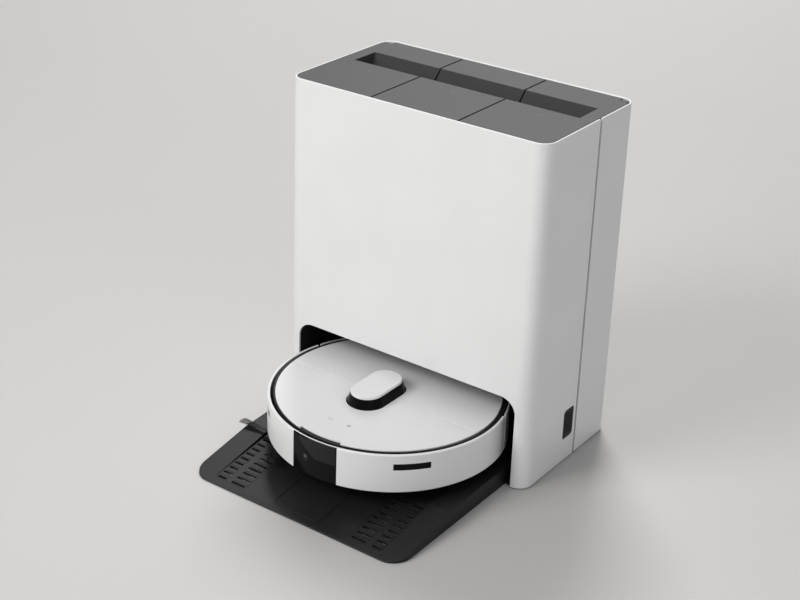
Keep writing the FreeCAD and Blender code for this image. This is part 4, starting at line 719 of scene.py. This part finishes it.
class VACUUM_OT_dust_bag(VacuumOperator, bpy.types.Operator):
    """Felt dust bag with pulled-in gussets, blown up a little by cloth simulation"""

    bl_idname = "vacuum.dust_bag"
    bl_label = "Dust bag"

    def execute(self, context):
        scene = context.scene
        cell, most_growth, last_frame = 6 * MM, 6 * MM, 20
        low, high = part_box("dust_bag")
        middle, size = (low + high) / 2, high - low
        bm = bmesh.new()
        bmesh.ops.create_cube(bm, size=1.0)
        bmesh.ops.subdivide_edges(bm, edges=bm.edges, cuts=15, use_grid_fill=True)
        for v in bm.verts:
            depth, height = abs(2 * v.co.y), abs(2 * v.co.z)
            gusset = 0.13 * (1 - depth) * (1 - 0.5 * height)
            if abs(v.co.x) > 0.499:
                v.co.x -= math.copysign(gusset, v.co.x)
            v.co.x *= 1 - 0.25 * height ** 6
            v.co = Vector(v.co[i] * size[i] * 0.93 + middle[i] for i in range(3))
        mesh = bpy.data.meshes.new("bag_start")
        bm.to_mesh(mesh)
        bm.free()
        start = bpy.data.objects.new("bag_start", mesh)
        scene.collection.objects.link(start)
        remesh = start.modifiers.new("voxels", "REMESH")
        remesh.mode, remesh.voxel_size = "VOXEL", cell
        layer = bpy.context.evaluated_depsgraph_get()
        cut = bpy.data.meshes.new_from_object(start.evaluated_get(layer))
        rest = [v.co.copy() for v in cut.vertices]
        bpy.data.objects.remove(start)
        blown = bpy.data.objects.new("bag_blown", cut)
        scene.collection.objects.link(blown)
        cloth = blown.modifiers.new("cloth", "CLOTH")
        cloth.settings.use_pressure = True
        cloth.settings.uniform_pressure_force = 4.0
        cloth.settings.effector_weights.gravity = 0.0
        for number in range(1, last_frame + 1):
            scene.frame_set(number)
        layer = bpy.context.evaluated_depsgraph_get()
        swollen = bpy.data.meshes.new_from_object(blown.evaluated_get(layer))
        scene.frame_set(1)
        bpy.data.objects.remove(blown)
        for v, home in zip(swollen.vertices, rest):
            moved = v.co - home
            moved *= min(1.0, most_growth / max(moved.length, 1e-9))
            v.co = [min(max(home[i] + moved[i], low[i]), high[i]) for i in range(3)]
        cut = swollen
        bm = bmesh.new()
        bm.from_mesh(cut)
        piece = place_mesh("felt_bag", bm, "bag_fabric", "station", 180.0)
        smooth = piece.modifiers.new("round", "SUBSURF")
        smooth.levels = smooth.render_levels = 1
        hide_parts("dust_bag")
        return {"FINISHED"}


class VACUUM_OT_inner_parts(VacuumOperator, bpy.types.Operator):
    """Everything inside and underneath, with broken edges"""

    bl_idname = "vacuum.inner_parts"
    bl_label = "Inner parts"

    def execute(self, context):
        for node, edge in INNER_EDGES.items():
            dress(node, edge)
        return {"FINISHED"}


class VACUUM_OT_studio(VacuumOperator, bpy.types.Operator):
    """Pale floor and backdrop, soft lights and the camera"""

    bl_idname = "vacuum.studio"
    bl_label = "Studio"

    def execute(self, context):
        scene = context.scene
        look = scene.vacuum_view
        low, high = CAD_BOX
        front, back, half, top = -8.0, 5.0, 9.0, 6.0
        radius, steps = 0.7, 12
        run = [(front, low.z), (back, low.z)]
        for i in range(1, steps + 1):
            a = math.pi / 2 * i / steps
            run.append((back + radius * math.sin(a), low.z + radius * (1 - math.cos(a))))
        run.append((back + radius, top))
        bm = bmesh.new()
        across = [bm.verts.new((-half, y, z)) for y, z in run]
        edges = [bm.edges.new(pair) for pair in zip(across, across[1:])]
        wide = bmesh.ops.extrude_edge_only(bm, edges=edges)
        bmesh.ops.translate(bm, vec=(2 * half, 0, 0), verts=only_verts(wide["geom"]))
        bmesh.ops.recalc_face_normals(bm, faces=bm.faces)
        for face in bm.faces:
            face.smooth = True
        mesh = bpy.data.meshes.new("floor")
        bm.to_mesh(mesh)
        bm.free()
        floor = bpy.data.objects.new("floor", mesh)
        scene.collection.objects.link(floor)
        shop = Shop("studio_floor", Roughness=0.55)
        cloud = shop.noise(1.3, 3.0)
        c = scene.vacuum_colours.floor
        mesh.materials.append(shop.set(Base_Color=shop.mix(cloud, shade(c, 0.985), shade(c, 1.015))))

        centre = (low + high) / 2
        far_floor = Vector((-2.6, 4.2, 0.0))
        for name, spot, aim, size, power, colour in (
            ("key_light", (-1.5, -2.7, 2.3), centre, 1.8, 79, (1.0, 0.995, 0.985)),
            ("fill_light", (2.6, -1.4, 1.6), centre, 2.4, 20, (0.97, 0.98, 1.0)),
            ("top_light", (-0.1, -1.7, 3.0), centre, 2.4, 18, (1.0, 1.0, 1.0)),
            ("back_light", (-2.4, 3.9, 6.2), far_floor, 2.2, 420, (1.0, 1.0, 1.0)),
        ):
            lamp = bpy.data.lights.new(name, "AREA")
            lamp.size, lamp.energy, lamp.color = size, power, colour
            light = bpy.data.objects.new(name, lamp)
            light.location = spot
            light.rotation_mode = "QUATERNION"
            light.rotation_quaternion = (aim - Vector(spot)).to_track_quat("-Z", "Y")
            scene.collection.objects.link(light)
        world = bpy.data.worlds.new("studio_air")
        world.use_nodes = True
        air = world.node_tree.nodes["Background"]
        air.inputs["Color"].default_value = (0.95, 0.97, 1.0, 1.0)
        air.inputs["Strength"].default_value = 0.27
        scene.world = world
        scene.view_settings.view_transform = "Standard"

        a, e, r = look.azimuth, look.elevation, look.roll
        away = Vector((math.sin(a) * math.cos(e), -math.cos(a) * math.cos(e), math.sin(e)))
        turn = away.to_track_quat("Z", "Y").to_matrix() @ Matrix.Rotation(-r, 3, "Z")
        data = bpy.data.cameras.new("camera")
        data.lens, data.sensor_width, data.shift_y = look.lens, 36.0, look.shift
        camera = bpy.data.objects.new("camera", data)
        camera.matrix_world = Matrix.Translation(look.place) @ turn.to_4x4()
        scene.collection.objects.link(camera)
        scene.camera = camera
        return {"FINISHED"}


class VACUUM_PT_panel(bpy.types.Panel):
    """Colours, camera settings and making steps"""

    bl_label = "Robot vacuum"
    bl_space_type = "VIEW_3D"
    bl_region_type = "UI"
    bl_category = "Vacuum"

    def draw(self, context):
        for group in (context.scene.vacuum_colours, context.scene.vacuum_view):
            for key in group.__annotations__:
                self.layout.prop(group, key)
        for step in STEPS:
            self.layout.operator(step.bl_idname)


STEPS = (
    VACUUM_OT_materials, VACUUM_OT_station_covers, VACUUM_OT_lids, VACUUM_OT_trough_grips,
    VACUUM_OT_ramp, VACUUM_OT_robot_covers, VACUUM_OT_prints, VACUUM_OT_window_details,
    VACUUM_OT_edge_brush, VACUUM_OT_mop_pads, VACUUM_OT_dust_bag, VACUUM_OT_inner_parts,
    VACUUM_OT_studio,
)
GROUPS = {"vacuum_colours": VacuumColours, "vacuum_view": VacuumView}


def register():
    for cls in (*GROUPS.values(), *STEPS, VACUUM_PT_panel):
        bpy.utils.register_class(cls)
    for key, group in GROUPS.items():
        setattr(bpy.types.Scene, key, bpy.props.PointerProperty(type=group))


def unregister():
    for key in GROUPS:
        delattr(bpy.types.Scene, key)
    for cls in (VACUUM_PT_panel, *reversed(STEPS), *GROUPS.values()):
        bpy.utils.unregister_class(cls)


def main():
    register()
    for step in STEPS:
        family, name = step.bl_idname.split(".")
        getattr(getattr(bpy.ops, family), name)()


if __name__ == "__main__":
    main()
